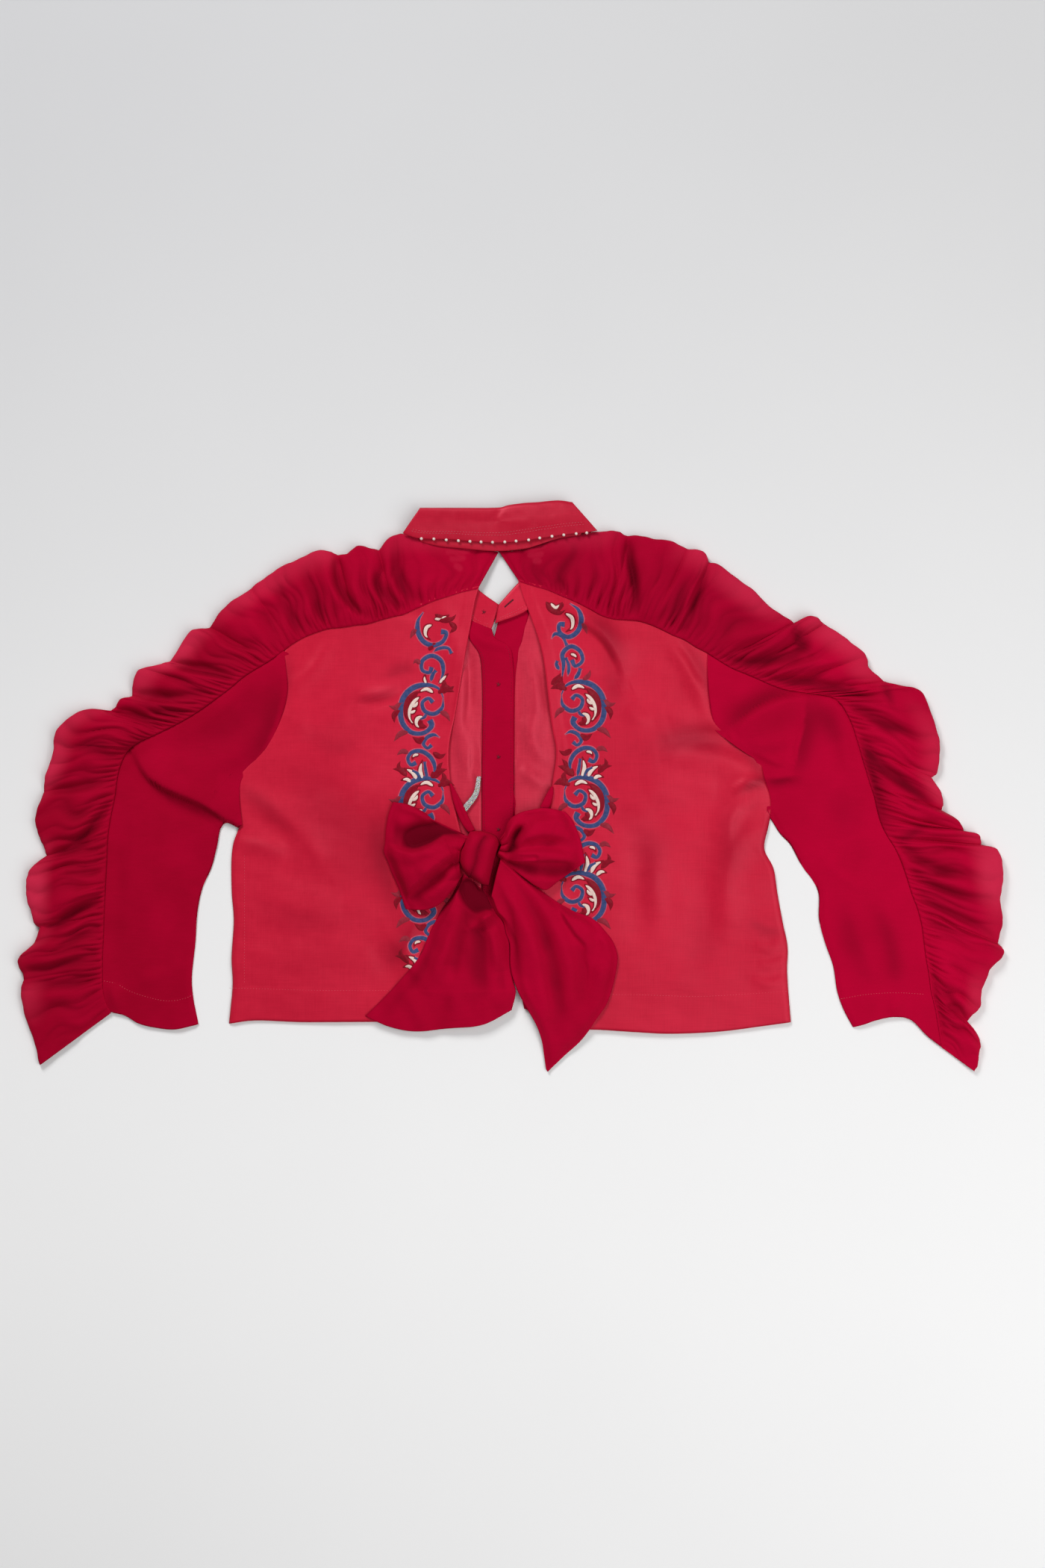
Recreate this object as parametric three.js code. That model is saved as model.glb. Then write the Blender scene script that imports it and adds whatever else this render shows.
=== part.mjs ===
// A women's cropped shirt laid flat with its back upward, collar at the top of the plan.
// Millimetres. X runs across the shirt, Y up the plan, Z up from the surface that it lies on.
// Left is the wearer's left, which has negative X.

import * as THREE from "three";

// Driving sizes
const WALL = 1.2; // a panel's cloth
const RUCHE_WALL = 1.6; // gathered cloth, crushed a little
const GAP = 0.3; // between pieces at a seam and between layers
const LAYER = WALL + GAP;
const LAP = 3; // how far a seam edge runs under the piece sewn over it
const SEAM_SHELF = 9; // width beside a seam that keeps the full lap height
const SEAM_RAMP = 30; // where that height has run out
const GATHER_PITCH = 13; // one pleat of the gathered seam
const GATHER_DEPTH = 2.4;
const BUTTON_RADIUS = 5.5;
const BUTTON_THICKNESS = 2;
const BUTTON_PITCH = 69.8;
const EDGE_HEIGHT = 3; // middle of the folded outer edge of the gathered band
const BOW_LIFT = 0.2; // clear of the panels under the bow
const LEAF_RAMP = 90; // where the height that the hidden collar leaves give has run out

// Number helpers
const clamp = (value, low, high) => Math.min(Math.max(value, low), high);
const mix = (a, b, t) => a + (b - a) * t;

function smooth(low, high, value) {
  const t = clamp((value - low) / (high - low), 0, 1);
  return t * t * (3 - 2 * t);
}

function table(columns, rows) {
  return rows.map((row) => Object.fromEntries(columns.map((column, i) => [column, row[i]])));
}

// Plan curves: lists of [x, y] become smooth lines sampled at even distances
function line(points) {
  return new THREE.CatmullRomCurve3(points.map(([x, y]) => new THREE.Vector3(x, y, 0)), false, "centripetal");
}

function sample(points, steps) {
  return line(points).getSpacedPoints(steps).map((point) => [point.x, point.y]);
}

// Moves a sampled line sideways, to the right of its own direction
function shifted(points, distance) {
  return points.map(([x, y], i) => {
    const [ax, ay] = points[Math.max(i - 1, 0)];
    const [bx, by] = points[Math.min(i + 1, points.length - 1)];
    const length = Math.hypot(bx - ax, by - ay);
    return [x + ((by - ay) / length) * distance, y - ((bx - ax) / length) * distance];
  });
}

function segmentPlace(x, y, ax, ay, bx, by) {
  const along = clamp(((x - ax) * (bx - ax) + (y - ay) * (by - ay)) / ((bx - ax) ** 2 + (by - ay) ** 2), 0, 1);
  const distance = Math.hypot(x - mix(ax, bx, along), y - mix(ay, by, along));
  const side = (bx - ax) * (y - ay) - (by - ay) * (x - ax);
  return { distance, side };
}

function distanceTo(points) {
  return (x, y) => {
    let nearest = Infinity;
    for (let i = 1; i < points.length; i += 1) {
      nearest = Math.min(nearest, segmentPlace(x, y, ...points[i - 1], ...points[i]).distance);
    }
    return nearest;
  };
}

// A patch between four sampled edges: top and bottom run across, left and right run down
function patch(top, bottom, left, right) {
  const columns = top.length - 1;
  const rows = left.length - 1;
  const corner = [top[0], top[columns], bottom[0], bottom[columns]];
  return left.map((_, j) =>
    top.map((__, i) => {
      const u = i / columns;
      const v = j / rows;
      return [0, 1].map(
        (k) =>
          mix(top[i][k], bottom[i][k], v) +
          mix(left[j][k], right[j][k], u) -
          mix(mix(corner[0][k], corner[1][k], u), mix(corner[2][k], corner[3][k], u), v),
      );
    }),
  );
}

// Closed wall between two grids of points with the same rows and columns
function wallBetween(upper, lower) {
  const rows = upper.length;
  const columns = upper[0].length;
  const positions = [...upper.flat(), ...lower.flat()].flat();
  const index = [];
  const at = (j, i) => j * columns + i;
  const under = rows * columns;
  for (let j = 0; j < rows - 1; j += 1) {
    for (let i = 0; i < columns - 1; i += 1) {
      const [a, b, c, d] = [at(j, i), at(j, i + 1), at(j + 1, i + 1), at(j + 1, i)];
      index.push(a, b, c, a, c, d);
      index.push(under + a, under + c, under + b, under + a, under + d, under + c);
    }
  }
  const rim = [];
  for (let i = 0; i < columns; i += 1) rim.push(at(0, i));
  for (let j = 1; j < rows; j += 1) rim.push(at(j, columns - 1));
  for (let i = columns - 2; i >= 0; i -= 1) rim.push(at(rows - 1, i));
  for (let j = rows - 2; j >= 1; j -= 1) rim.push(at(j, 0));
  rim.forEach((a, k) => {
    const b = rim[(k + 1) % rim.length];
    index.push(b, a, under + a, b, under + a, under + b);
  });
  return facingOut(positions, index);
}

function facingOut(positions, index) {
  const point = (i) => new THREE.Vector3().fromArray(positions, i * 3);
  let volume = 0;
  for (let i = 0; i < index.length; i += 3) {
    volume += point(index[i]).dot(point(index[i + 1]).cross(point(index[i + 2])));
  }
  const ordered = volume > 0 ? index : index.slice().reverse();
  const geometry = new THREE.BufferGeometry();
  geometry.setAttribute("position", new THREE.Float32BufferAttribute(positions, 3));
  geometry.setIndex(ordered);
  geometry.computeVertexNormals();
  return geometry;
}

// A sheet of cloth over a plan, with its underside at floor(x, y)
function sheet(plan, floor, wall = WALL) {
  const underside = plan.map((row) => row.map(([x, y]) => [x, y, floor(x, y)]));
  const topside = underside.map((row) => row.map(([x, y, z]) => [x, y, z + wall]));
  return wallBetween(topside, underside);
}

// Soft folds in a panel. Each runs from one point to another, gentle on its left and steeper on its right
const FOLD_COLUMNS = ["ax", "ay", "bx", "by", "height", "gentle", "steep"];

function foldsOf(rows) {
  const folds = table(FOLD_COLUMNS, rows);
  return (x, y) =>
    folds.reduce((height, fold) => {
      const place = segmentPlace(x, y, fold.ax, fold.ay, fold.bx, fold.by);
      const reach = place.side > 0 ? fold.gentle : fold.steep;
      return height + fold.height * Math.exp(-((place.distance / reach) ** 2));
    }, 0);
}

const shirt = new THREE.Group();

const satin = () => new THREE.MeshStandardMaterial({ color: 0xbf2338, roughness: 0.42, metalness: 0 });
const georgette = () => new THREE.MeshStandardMaterial({ color: 0x9c0424, roughness: 0.7, metalness: 0 });
const button = () => new THREE.MeshStandardMaterial({ color: 0xe9dfd2, roughness: 0.3, metalness: 0 });
const lurex = () => new THREE.MeshStandardMaterial({ color: 0xb9b6b4, roughness: 0.35, metalness: 0.6 });

function piece(name, geometry, material) {
  const mesh = new THREE.Mesh(geometry, material());
  mesh.name = name;
  shirt.add(mesh);
}

// Front leaves of the collar. They lie on the ground under the fronts and the gathered bands,
// and every other piece stands a layer higher over them.
const LEAF_STEPS = 8;
const LEAF_LEFT_NECK = [[-88, 262], [-72, 232], [-56, 200], [-40, 166]];
const LEAF_LEFT_OUTER = [[-101, 243], [-108, 212], [-98, 172], [-64, 124]];
const LEAF_RIGHT_NECK = [[60, 262], [48, 232], [34, 200], [20, 168]];
const LEAF_RIGHT_OUTER = [[79, 243], [88, 212], [78, 172], [44, 126]];

const toLeafLeft = distanceTo(sample([[-90, 250], [-82, 210], [-62, 150]], 12));
const toLeafRight = distanceTo(sample([[68, 250], [62, 210], [42, 150]], 12));
const LEAF_SHELF = 30;
const leafRise = (x, y) =>
  LAYER * (1 - smooth(LEAF_SHELF, LEAF_SHELF + LEAF_RAMP, Math.min(toLeafLeft(x, y), toLeafRight(x, y))));

function overLeaves(name, geometry, material) {
  const position = geometry.getAttribute("position");
  for (let i = 0; i < position.count; i += 1) {
    position.setZ(i, position.getZ(i) + leafRise(position.getX(i), position.getY(i)));
  }
  geometry.computeVertexNormals();
  piece(name, geometry, material);
}

// Gathered band: a row for each main pleat, nick or lobe, from the neck to the cuff.
// The seam point is on the back panel or sleeve, the edge point on the folded outer edge.
const BAND_COLUMNS = ["seamX", "seamY", "edgeX", "edgeY", "puff"];

const RUCHE_LEFT = table(BAND_COLUMNS, [
  [-33, 190, -13, 225.5, 2],
  [-47, 187, -32, 229, 2.5],
  [-60, 183, -54, 233, 3],
  [-76, 178, -80, 239, 3.5],
  [-92, 171, -104, 243.5, 5],
  [-104, 165.5, -116, 241.5, 8],
  [-113, 163.5, -128, 228, 4],
  [-126, 160, -145, 231.5, 9],
  [-140, 156, -158, 225.5, 8],
  [-150, 155, -167.5, 222.5, 4],
  [-163, 153, -177, 227.5, 9],
  [-177, 151.5, -198, 223, 8],
  [-190, 147.5, -219, 211.5, 7],
  [-200, 143.5, -232, 205, 5],
  [-212, 136.5, -251, 190.5, 5],
  [-221, 130, -270, 178, 8],
  [-233, 121.5, -291, 153, 4],
  [-247, 113, -308, 149, 9],
  [-259, 105, -328.5, 120.5, 4],
  [-272, 94, -345, 116.5, 8],
  [-284, 85, -362, 109, 9],
  [-298, 75, -365.5, 87, 4],
  [-312, 66, -377, 84, 7],
  [-327, 58, -386, 73, 3],
  [-343, 50, -411, 74, 10],
  [-358, 43, -438, 55, 11],
  [-370, 34, -442, 33, 10],
  [-377, 20, -449, 10, 9],
  [-380, 8, -450, -5, 4],
  [-382, -8, -458.5, -30, 9],
  [-386, -28, -454, -50, 8],
  [-389, -48, -447, -66, 3],
  [-390, -68, -465, -82, 9],
  [-391, -90, -467, -103, 10],
  [-392, -112, -460, -130, 7],
  [-392.5, -123, -454.5, -135.5, 3],
  [-393, -137, -460, -150, 7],
  [-393.5, -150, -473, -162, 8],
  [-394, -162, -475, -172, 9],
  [-394, -173, -470, -186, 4],
  [-394, -185, -473, -199, 7],
  [-393.5, -197, -467, -224, 6],
  [-391, -208, -461, -248, 5],
  [-386, -218, -454, -268, 4],
]);
const ARMHOLE_ROW_LEFT = 15;

const RUCHE_RIGHT = table(BAND_COLUMNS, [
  [7.5, 197, -12, 226, 2],
  [20, 193, 5, 228, 2.5],
  [34, 189, 26, 233, 3],
  [48, 183, 50, 240, 3.5],
  [62, 177, 71, 244, 4],
  [75, 170.5, 88, 246.3, 6],
  [87, 164, 104, 245.5, 8],
  [98, 161, 112, 241, 4],
  [110, 160, 131, 240, 9],
  [122, 159, 152, 236.5, 9],
  [135, 155, 170, 229.5, 8],
  [147, 149.5, 187, 224, 9],
  [155, 145.5, 190, 216, 4],
  [166, 141, 204, 209.5, 7],
  [178, 133.5, 230, 190.5, 9],
  [189, 128, 252, 171, 8],
  [200, 121, 271, 157, 4],
  [212, 114, 287.5, 164, 9],
  [224, 109, 300, 157, 8],
  [236, 104, 320, 144, 9],
  [250, 98, 338, 130, 9],
  [265, 93, 345, 114, 5],
  [280, 90.5, 358, 101.5, 4],
  [295, 88.5, 376, 97, 8],
  [308, 86, 393, 93.5, 9],
  [316, 80, 401, 78, 9],
  [322, 71, 410, 52, 9],
  [328, 59, 412.5, 32, 8],
  [332, 47, 409, 12, 6],
  [335, 37, 405, 8.5, 3],
  [338, 26, 413, -5, 8],
  [342, 13, 415, -17, 6],
  [345, 3, 413.5, -22.5, 3],
  [349, -9, 430, -33, 10],
  [352, -22, 436, -43.5, 4],
  [356, -36, 449, -46, 10],
  [362, -48, 451, -56, 5],
  [369, -59, 468, -61, 11],
  [375, -72, 473, -83, 11],
  [380, -86, 471, -103, 9],
  [385, -102, 472, -128, 9],
  [391, -118, 468.5, -151, 5],
  [395, -134, 475, -158, 9],
  [397, -150, 464, -173, 8],
  [399, -165, 454, -192, 8],
  [402, -182, 450, -213, 7],
  [404, -197, 440, -227, 3],
  [408, -214, 450, -242, 6],
  [411, -232, 450.5, -257, 5],
  [414, -251, 446, -274.5, 4],
]);
const ARMHOLE_ROW_RIGHT = 15;

const seamOf = (row) => [row.seamX, row.seamY];

// The edge of a panel that runs a lap's width under the gathered band
function lapped(rows) {
  return rows.map((row) => {
    const width = Math.hypot(row.edgeX - row.seamX, row.edgeY - row.seamY);
    return [0, 1].map((k) => mix(seamOf(row)[k], [row.edgeX, row.edgeY][k], LAP / width));
  });
}

// Outlines of the body and sleeves, from the top of the plan down
const ARMHOLE_LEFT = [
  [-219.5, 131], [-217, 112], [-215.5, 92], [-221, 68], [-236, 38], [-250, 22], [-263, 10], [-266, -6], [-263, -40],
];
const SIDE_LEFT = [[-263, -40], [-269, -58], [-270, -100], [-268, -128], [-270, -165], [-269, -190], [-272.5, -228.5]];
const OPENING_LEFT = [
  [-31, 193], [-35, 179], [-39.7, 154], [-47.2, 112], [-54.6, 69.5], [-60.5, 37], [-58.7, 2.5], [-50, -40],
  [-38, -80], [-33, -140], [-33, -225],
];
const HEM_LEFT = [[-33, -225], [-130, -226], [-200, -227], [-250, -225.5], [-272.5, -228.5]];

const ARMHOLE_RIGHT = [
  [189, 130], [188.5, 110], [190, 85], [195, 62], [210, 48], [225, 40], [239, 26], [243, 8], [249, -10], [250, -27],
];
const SIDE_RIGHT = [
  [250, -27], [247, -40], [243.5, -60], [252, -78], [256, -102], [261, -130], [266, -155], [265.5, -178], [269, -227],
];
const OPENING_RIGHT = [
  [5.8, 199.5], [11, 182], [15.8, 169.6], [29, 130], [38.2, 60.8], [42.8, 32.8], [39.1, 3.2], [36.9, -18], [22, -60],
  [12, -110], [16, -160], [24, -200], [28, -235],
];
const HEM_RIGHT = [[28, -235], [75, -234], [120, -236.5], [150, -238], [200, -236], [240, -231], [269, -227]];

const INSIDE_SLEEVE_LEFT = [
  [-263, -40], [-275, -35], [-283, -42], [-286.5, -60], [-291, -80], [-299, -100], [-303, -120], [-305, -150],
  [-308.5, -185], [-307, -204], [-302, -229],
];
const CUFF_LEFT = [[-387, -217], [-372, -221], [-360, -228], [-345, -232], [-325, -234], [-310, -231], [-302, -229]];
const INSIDE_SLEEVE_RIGHT = [
  [250, -27], [262, -48], [271, -58], [281, -78], [290, -90], [297, -105], [297, -130], [302, -150], [310, -173],
  [314, -198], [320, -215], [329, -232],
];
const CUFF_RIGHT = [[414, -251], [400, -240], [384, -224.5], [368, -222], [350, -225.5], [340, -229], [329, -232]];

// Grid steps of the panels. A sleeve's columns match the armhole rows of the body
const ACROSS_BODY = 13;
const ARMHOLE_STEPS = 7;
const SIDE_STEPS = 8;
const ALONG_SLEEVE = 16;

// Heights that the seams give to the layers over them
const toRucheLeft = distanceTo(sample(RUCHE_LEFT.map(seamOf), 90));
const toRucheRight = distanceTo(sample(RUCHE_RIGHT.map(seamOf), 90));
const toArmholeLeft = distanceTo(sample(ARMHOLE_LEFT, 40));
const toArmholeRight = distanceTo(sample(ARMHOLE_RIGHT, 40));

const shelf = (distance) => 1 - smooth(SEAM_SHELF, SEAM_RAMP, distance);
const seamRise = (x, y) => LAYER * shelf(Math.min(toRucheLeft(x, y), toRucheRight(x, y)));
const armholeRise = (x, y) => LAYER * shelf(Math.min(toArmholeLeft(x, y), toArmholeRight(x, y)));

// The plackets lie over the buttons, and the fronts rise to meet them
const BUTTON_X = -13;
const PLACKET_FLOOR = BUTTON_THICKNESS + GAP;
const FRONT_EDGE_LEFT = [[-41, 143], [-31, 127], [-27.7, 107], [-27.7, 0], [-27.7, -226]];
const FRONT_EDGE_RIGHT = [[15.3, 167], [7, 135], [2.8, 110], [1.8, 60], [1.8, 0], [10, -90], [43, -226]];
const toPlacketLeft = distanceTo(sample([[-38, 190], [-30, 150], [-13, 125], [-13, -226]], 30));
const toPlacketRight = distanceTo(sample([[26, 190], [2, 155], [-10, 120], [-11, 0], [-3, -90], [27, -226]], 30));
const PLACKET_SHELF = 18;
const PLACKET_RAMP = 50;

function placketRise(x, y, margin) {
  const distance = Math.min(toPlacketLeft(x, y), toPlacketRight(x, y));
  return PLACKET_FLOOR * (1 - smooth(PLACKET_SHELF + margin, PLACKET_RAMP + margin, distance));
}

const frontFloor = (x, y) => seamRise(x, y) + placketRise(x, y, 0);
const sleeveBackFloor = (x, y) => LAYER + seamRise(x, y);

// Largest folds of the back and the sleeves
const bodyFolds = foldsOf([
  [58, 172, 100, 138, 3.5, 16, 7],
  [100, 138, 122, 96, 2.5, 20, 9],
  [186, 122, 196, 66, 2, 16, 8],
  [160, 52, 228, 28, 3, 12, 20],
  [244, 12, 214, -4, 3, 9, 14],
  [216, -30, 212, -150, 1.6, 20, 12],
  [140, -70, 146, -140, 1.2, 12, 12],
  [-152, 87, -110, 93, 1.2, 14, 7],
  [-250, 0, -205, -30, 2, 16, 12],
  [-262, -48, -214, -62, 1.4, 12, 14],
  [-205, 40, -212, 100, 1.8, 18, 14],
  [-110, -150, -84, -186, 1.4, 14, 9],
]);
const sleeveFolds = foldsOf([
  [-270, -34, -300, -16, 3.5, 12, 24],
  [-300, -16, -332, -4, 3.5, 13, 24],
  [-332, -4, -360, 20, 3, 13, 22],
  [-250, 60, -330, 40, 2.5, 16, 20],
  [-232, 90, -268, 60, 2.5, 14, 14],
  [-340, -60, -352, -170, 1.6, 18, 18],
  [-384, -196, -382, -216, 3, 10, 10],
  [222, 68, 248, 81, 4, 12, 22],
  [248, 81, 300, 86, 4, 12, 20],
  [279, 78, 272, 22, 2.4, 12, 7],
  [300, 60, 316, 20, 2.5, 12, 14],
  [250, 6, 300, 14, 2.2, 14, 9],
  [300, -40, 330, -150, 1.8, 20, 22],
  [372, -196, 370, -220, 3, 12, 12],
]);

const BACK_MARGIN = 8; // the back clears the ramp of the fronts by this much
const BACK_LIFT = 1.25; // and stands this share of their rise over them
const overFronts = (x, y) => BACK_LIFT * placketRise(x, y, BACK_MARGIN);
const backRise = (x, y) => armholeRise(x, y) + overFronts(x, y) + bodyFolds(x, y) + sleeveFolds(x, y);
const backFloor = (x, y) => LAYER + seamRise(x, y) + backRise(x, y);

// Each side's panels. The outer edge is the armhole and then the side seam
function sidePanels(side, ruche, armRow, arm, body, opening, hem, frontEdge, inner, cuff) {
  const outer = [...sample(arm, ARMHOLE_STEPS), ...sample(body, SIDE_STEPS).slice(1)];
  const rows = outer.length - 1;
  const bodySeam = lapped(ruche.slice(0, armRow));
  const backTop = sample([opening[0], ...bodySeam.slice(1), outer[0]], ACROSS_BODY);
  const backPlan = patch(backTop, sample(hem, ACROSS_BODY), sample(opening, rows), outer);
  overLeaves(`back_${side}`, sheet(backPlan, backFloor), satin);

  const turn = side === "left" ? 1 : -1;
  const inset = shifted(outer, -GAP * turn);
  const frontTop = sample([frontEdge[0], [frontEdge[0][0] - 11 * turn, frontEdge[0][1] + 14],
    ...bodySeam.slice(3), inset[0]], ACROSS_BODY);
  const frontHem = [frontEdge.at(-1), ...hem.slice(2, -1), inset.at(-1)];
  const frontPlan = patch(frontTop, sample(frontHem, ACROSS_BODY), sample(frontEdge, rows), inset);
  overLeaves(`front_${side}`, sheet(frontPlan, frontFloor), satin);

  const sleeveSeam = sample([...lapped(ruche.slice(armRow)).slice(0, -1), cuff[0]], ALONG_SLEEVE);
  const insideLine = sample(inner, ALONG_SLEEVE);
  const cuffLine = sample(cuff, ARMHOLE_STEPS);
  const armLine = sample(arm, ARMHOLE_STEPS);
  const underArm = shifted(armLine, GAP * turn);
  underArm[0] = sleeveSeam[0];
  const backArm = shifted(armLine, -LAP * turn);
  backArm[0] = sleeveSeam[0];
  backArm[ARMHOLE_STEPS] = insideLine[0];
  underArm[ARMHOLE_STEPS] = shifted(armLine, 2 * GAP * turn).at(-1);
  const sleeveLift = (x, y) => sleeveBackFloor(x, y) + sleeveFolds(x, y);
  const backSleeve = patch(backArm, cuffLine, sleeveSeam, insideLine);
  overLeaves(`sleeve_back_${side}`, sheet(backSleeve, sleeveLift), georgette);
  const frontSleeve = patch(underArm, cuffLine, sleeveSeam, [underArm.at(-1), ...insideLine.slice(1)]);
  overLeaves(`sleeve_front_${side}`, sheet(frontSleeve, seamRise), georgette);
}

sidePanels("left", RUCHE_LEFT, ARMHOLE_ROW_LEFT, ARMHOLE_LEFT, SIDE_LEFT, OPENING_LEFT, HEM_LEFT,
  FRONT_EDGE_LEFT, INSIDE_SLEEVE_LEFT, CUFF_LEFT);
sidePanels("right", RUCHE_RIGHT, ARMHOLE_ROW_RIGHT, ARMHOLE_RIGHT, SIDE_RIGHT, OPENING_RIGHT, HEM_RIGHT,
  FRONT_EDGE_RIGHT, INSIDE_SLEEVE_RIGHT, CUFF_RIGHT);

// Gathered bands: the cloth runs out from the seam over a puff, turns at the outer edge and comes back flat
// across: share of the width, lift: share of the puff, crush: share of the gather depth
const PUFF_PROFILE = table(["across", "lift", "crush"], [
  [0, 0, 0.5],
  [0.2, 0.62, 1],
  [0.45, 1, 0.7],
  [0.7, 0.95, 0.4],
  [0.89, 0.62, 0.15],
]);

function hairpin(stations) {
  const outerSkin = [];
  const innerSkin = [];
  stations.forEach(({ seam, edge, outer, inner }) => {
    const width = Math.hypot(edge[0] - seam[0], edge[1] - seam[1]);
    const place = ([r, z]) => [mix(seam[0], edge[0], r / width), mix(seam[1], edge[1], r / width), z];
    outerSkin.push(outer(width).map(place));
    innerSkin.push(inner(width).map(place));
  });
  return wallBetween(outerSkin, innerSkin);
}

function gatheredBand(rows, rise) {
  const seamLine = line(rows.map(seamOf));
  const edgeLine = line(rows.map((row) => [row.edgeX, row.edgeY]));
  const places = [0];
  for (let k = 1; k < rows.length; k += 1) {
    const run = Math.hypot(rows[k].seamX - rows[k - 1].seamX, rows[k].seamY - rows[k - 1].seamY);
    const halves = 2 * Math.max(1, Math.round(run / GATHER_PITCH));
    for (let half = 1; half <= halves; half += 1) places.push(k - 1 + half / halves);
  }
  const stations = places.map((place, count) => {
    const seam = seamLine.getPoint(place / (rows.length - 1));
    const edge = edgeLine.getPoint(place / (rows.length - 1));
    const k = Math.min(Math.floor(place), rows.length - 2);
    const puff = mix(rows[k].puff, rows[k + 1].puff, smooth(0, 1, place - k));
    const seat = 3 * LAYER + 2 * GAP + rise(seam.x, seam.y);
    const pleat = count % 2 === 1 ? GATHER_DEPTH : 0;
    const under = ({ across, lift, crush }) =>
      mix(seat, LAYER + GAP, smooth(0.15, 0.8, across)) + lift * puff + crush * pleat;
    return {
      seam: [seam.x, seam.y],
      edge: [edge.x, edge.y],
      outer: (width) => [
        ...PUFF_PROFILE.map((row) => [row.across * width, under(row) + RUCHE_WALL]),
        [width, EDGE_HEIGHT],
        [width - EDGE_HEIGHT, 0],
        [0, 0],
      ],
      inner: (width) => [
        ...PUFF_PROFILE.map((row) => [row.across * width, under(row)]),
        [width - RUCHE_WALL, EDGE_HEIGHT],
        [width - EDGE_HEIGHT - RUCHE_WALL / 2, WALL],
        [0, WALL],
      ],
    };
  });
  return hairpin(stations);
}

overLeaves("ruche_left", gatheredBand(RUCHE_LEFT, backRise), georgette);
overLeaves("ruche_right", gatheredBand(RUCHE_RIGHT, backRise), georgette);

// Plackets: the buttonhole side is the lower one and parts from the other towards the hem
const PLACKET_STEPS = 12;
const LEFT_PLACKET_OUTER = [[-39, 155], [-40, 143], [-31, 127], [-28.5, 107], [-28.5, 0], [-28.5, -226]];
const LEFT_PLACKET_INNER = [[-21, 149.5], [-16, 143], [-2, 134.5], [1.4, 118], [1.8, 60], [1.8, -226]];
const RIGHT_PLACKET_OUTER = [[14, 168.6], [9, 150], [4.5, 130], [1, 110], [0.4, 60], [1.4, 0], [9, -90], [40, -226]];
const RIGHT_PLACKET_INNER = [[-11, 156], [-17, 144], [-23, 128], [-24, 60], [-24, 0], [-16, -90], [12, -214]];
const rightPlacketFloor = () => PLACKET_FLOOR;
const leftPlacketFloor = () => PLACKET_FLOOR + LAYER;

function strip(first, second, steps, floor, wall = WALL) {
  const near = sample(first, steps);
  const far = sample(second, steps);
  return sheet(near.map((point, i) => [point, far[i]]), floor, wall);
}

overLeaves("placket_left", strip(LEFT_PLACKET_OUTER, LEFT_PLACKET_INNER, PLACKET_STEPS, leftPlacketFloor), georgette);
overLeaves("placket_right", strip(RIGHT_PLACKET_INNER, RIGHT_PLACKET_OUTER, PLACKET_STEPS, rightPlacketFloor), georgette);

// Buttons face the ground, one under the stand and the rest under the placket
function buttonSolid() {
  const profile = [[0, 0], [BUTTON_RADIUS - 0.6, 0], [BUTTON_RADIUS, 0.6], [BUTTON_RADIUS, BUTTON_THICKNESS - 0.4],
    [BUTTON_RADIUS - 0.5, BUTTON_THICKNESS], [0, BUTTON_THICKNESS]];
  const disc = new THREE.LatheGeometry(profile.map(([x, y]) => new THREE.Vector2(x, y)), 12);
  return disc.rotateX(Math.PI / 2);
}

const STAND_BUTTON = [-27, 168];
const LAST_BUTTON = 6; // where the plackets have parted, so it hangs from the upper one
for (let count = 1; count <= LAST_BUTTON; count += 1) {
  const place = count === 1 ? STAND_BUTTON : [BUTTON_X, STAND_BUTTON[1] - (count - 1) * BUTTON_PITCH];
  const lift = count === LAST_BUTTON ? LAYER : 0;
  overLeaves(`button_${count}`, buttonSolid().translate(...place, lift), button);
}

// Ends of the collar stand, which run under the yoke towards the neck
const STAND_STEPS = 5;
const STAND_LEFT_UPPER = [[-12.6, 174], [-32, 189.5], [-48, 208], [-62, 226]];
const STAND_LEFT_LOWER = [[-21.2, 149.4], [-38.5, 157.3], [-48, 186], [-64, 206], [-79, 223]];
const STAND_RIGHT_UPPER = [[-11.8, 174.4], [7.3, 197], [25, 212], [45, 228]];
const STAND_RIGHT_LOWER = [[-11.9, 155.3], [15, 170], [33, 195], [55, 216]];
const rightStandFloor = (x, y) => mix(PLACKET_FLOOR - LAYER, LAYER + GAP, smooth(180, 200, y));
overLeaves("stand_left", strip(STAND_LEFT_UPPER, STAND_LEFT_LOWER, STAND_STEPS, rightPlacketFloor), satin);
overLeaves("stand_right", strip(STAND_RIGHT_UPPER, STAND_RIGHT_LOWER, STAND_STEPS, rightStandFloor), satin);

piece("collar_leaf_left", strip(LEAF_LEFT_NECK, LEAF_LEFT_OUTER, LEAF_STEPS, () => 0), satin);
piece("collar_leaf_right", strip(LEAF_RIGHT_NECK, LEAF_RIGHT_OUTER, LEAF_STEPS, () => 0), satin);

// Stand strip across the back neck, and the folded collar over it
const COLLAR_STEPS = 16;
const STRIP_LOWER = [[-88, 235.5], [-70, 231], [-50, 229], [-30, 227], [-13, 226.3], [0, 227], [15, 229], [25, 232],
  [45, 238.5], [66, 241.5]];
const STRIP_UPPER = [[-93, 246], [-60, 247], [-13, 247], [20, 249], [70, 252]];
const STRIP_FLOOR = 5.95;
overLeaves("collar_stand", strip(STRIP_LOWER, STRIP_UPPER, COLLAR_STEPS, () => STRIP_FLOOR), satin);

const FALL_EDGE = [[-104.5, 243.5], [-80, 238], [-60, 237.5], [-30, 235], [-10, 234.5], [10, 236], [30, 239],
  [50, 242], [82, 246]];
const FALL_FOLD = [[-88, 267.5], [-50, 267.5], [-11, 268], [-4, 270], [25, 273], [45, 274.7], [58, 273]];
const fallEdge = sample(FALL_EDGE, COLLAR_STEPS);
const fallFold = sample(FALL_FOLD, COLLAR_STEPS);
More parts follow.
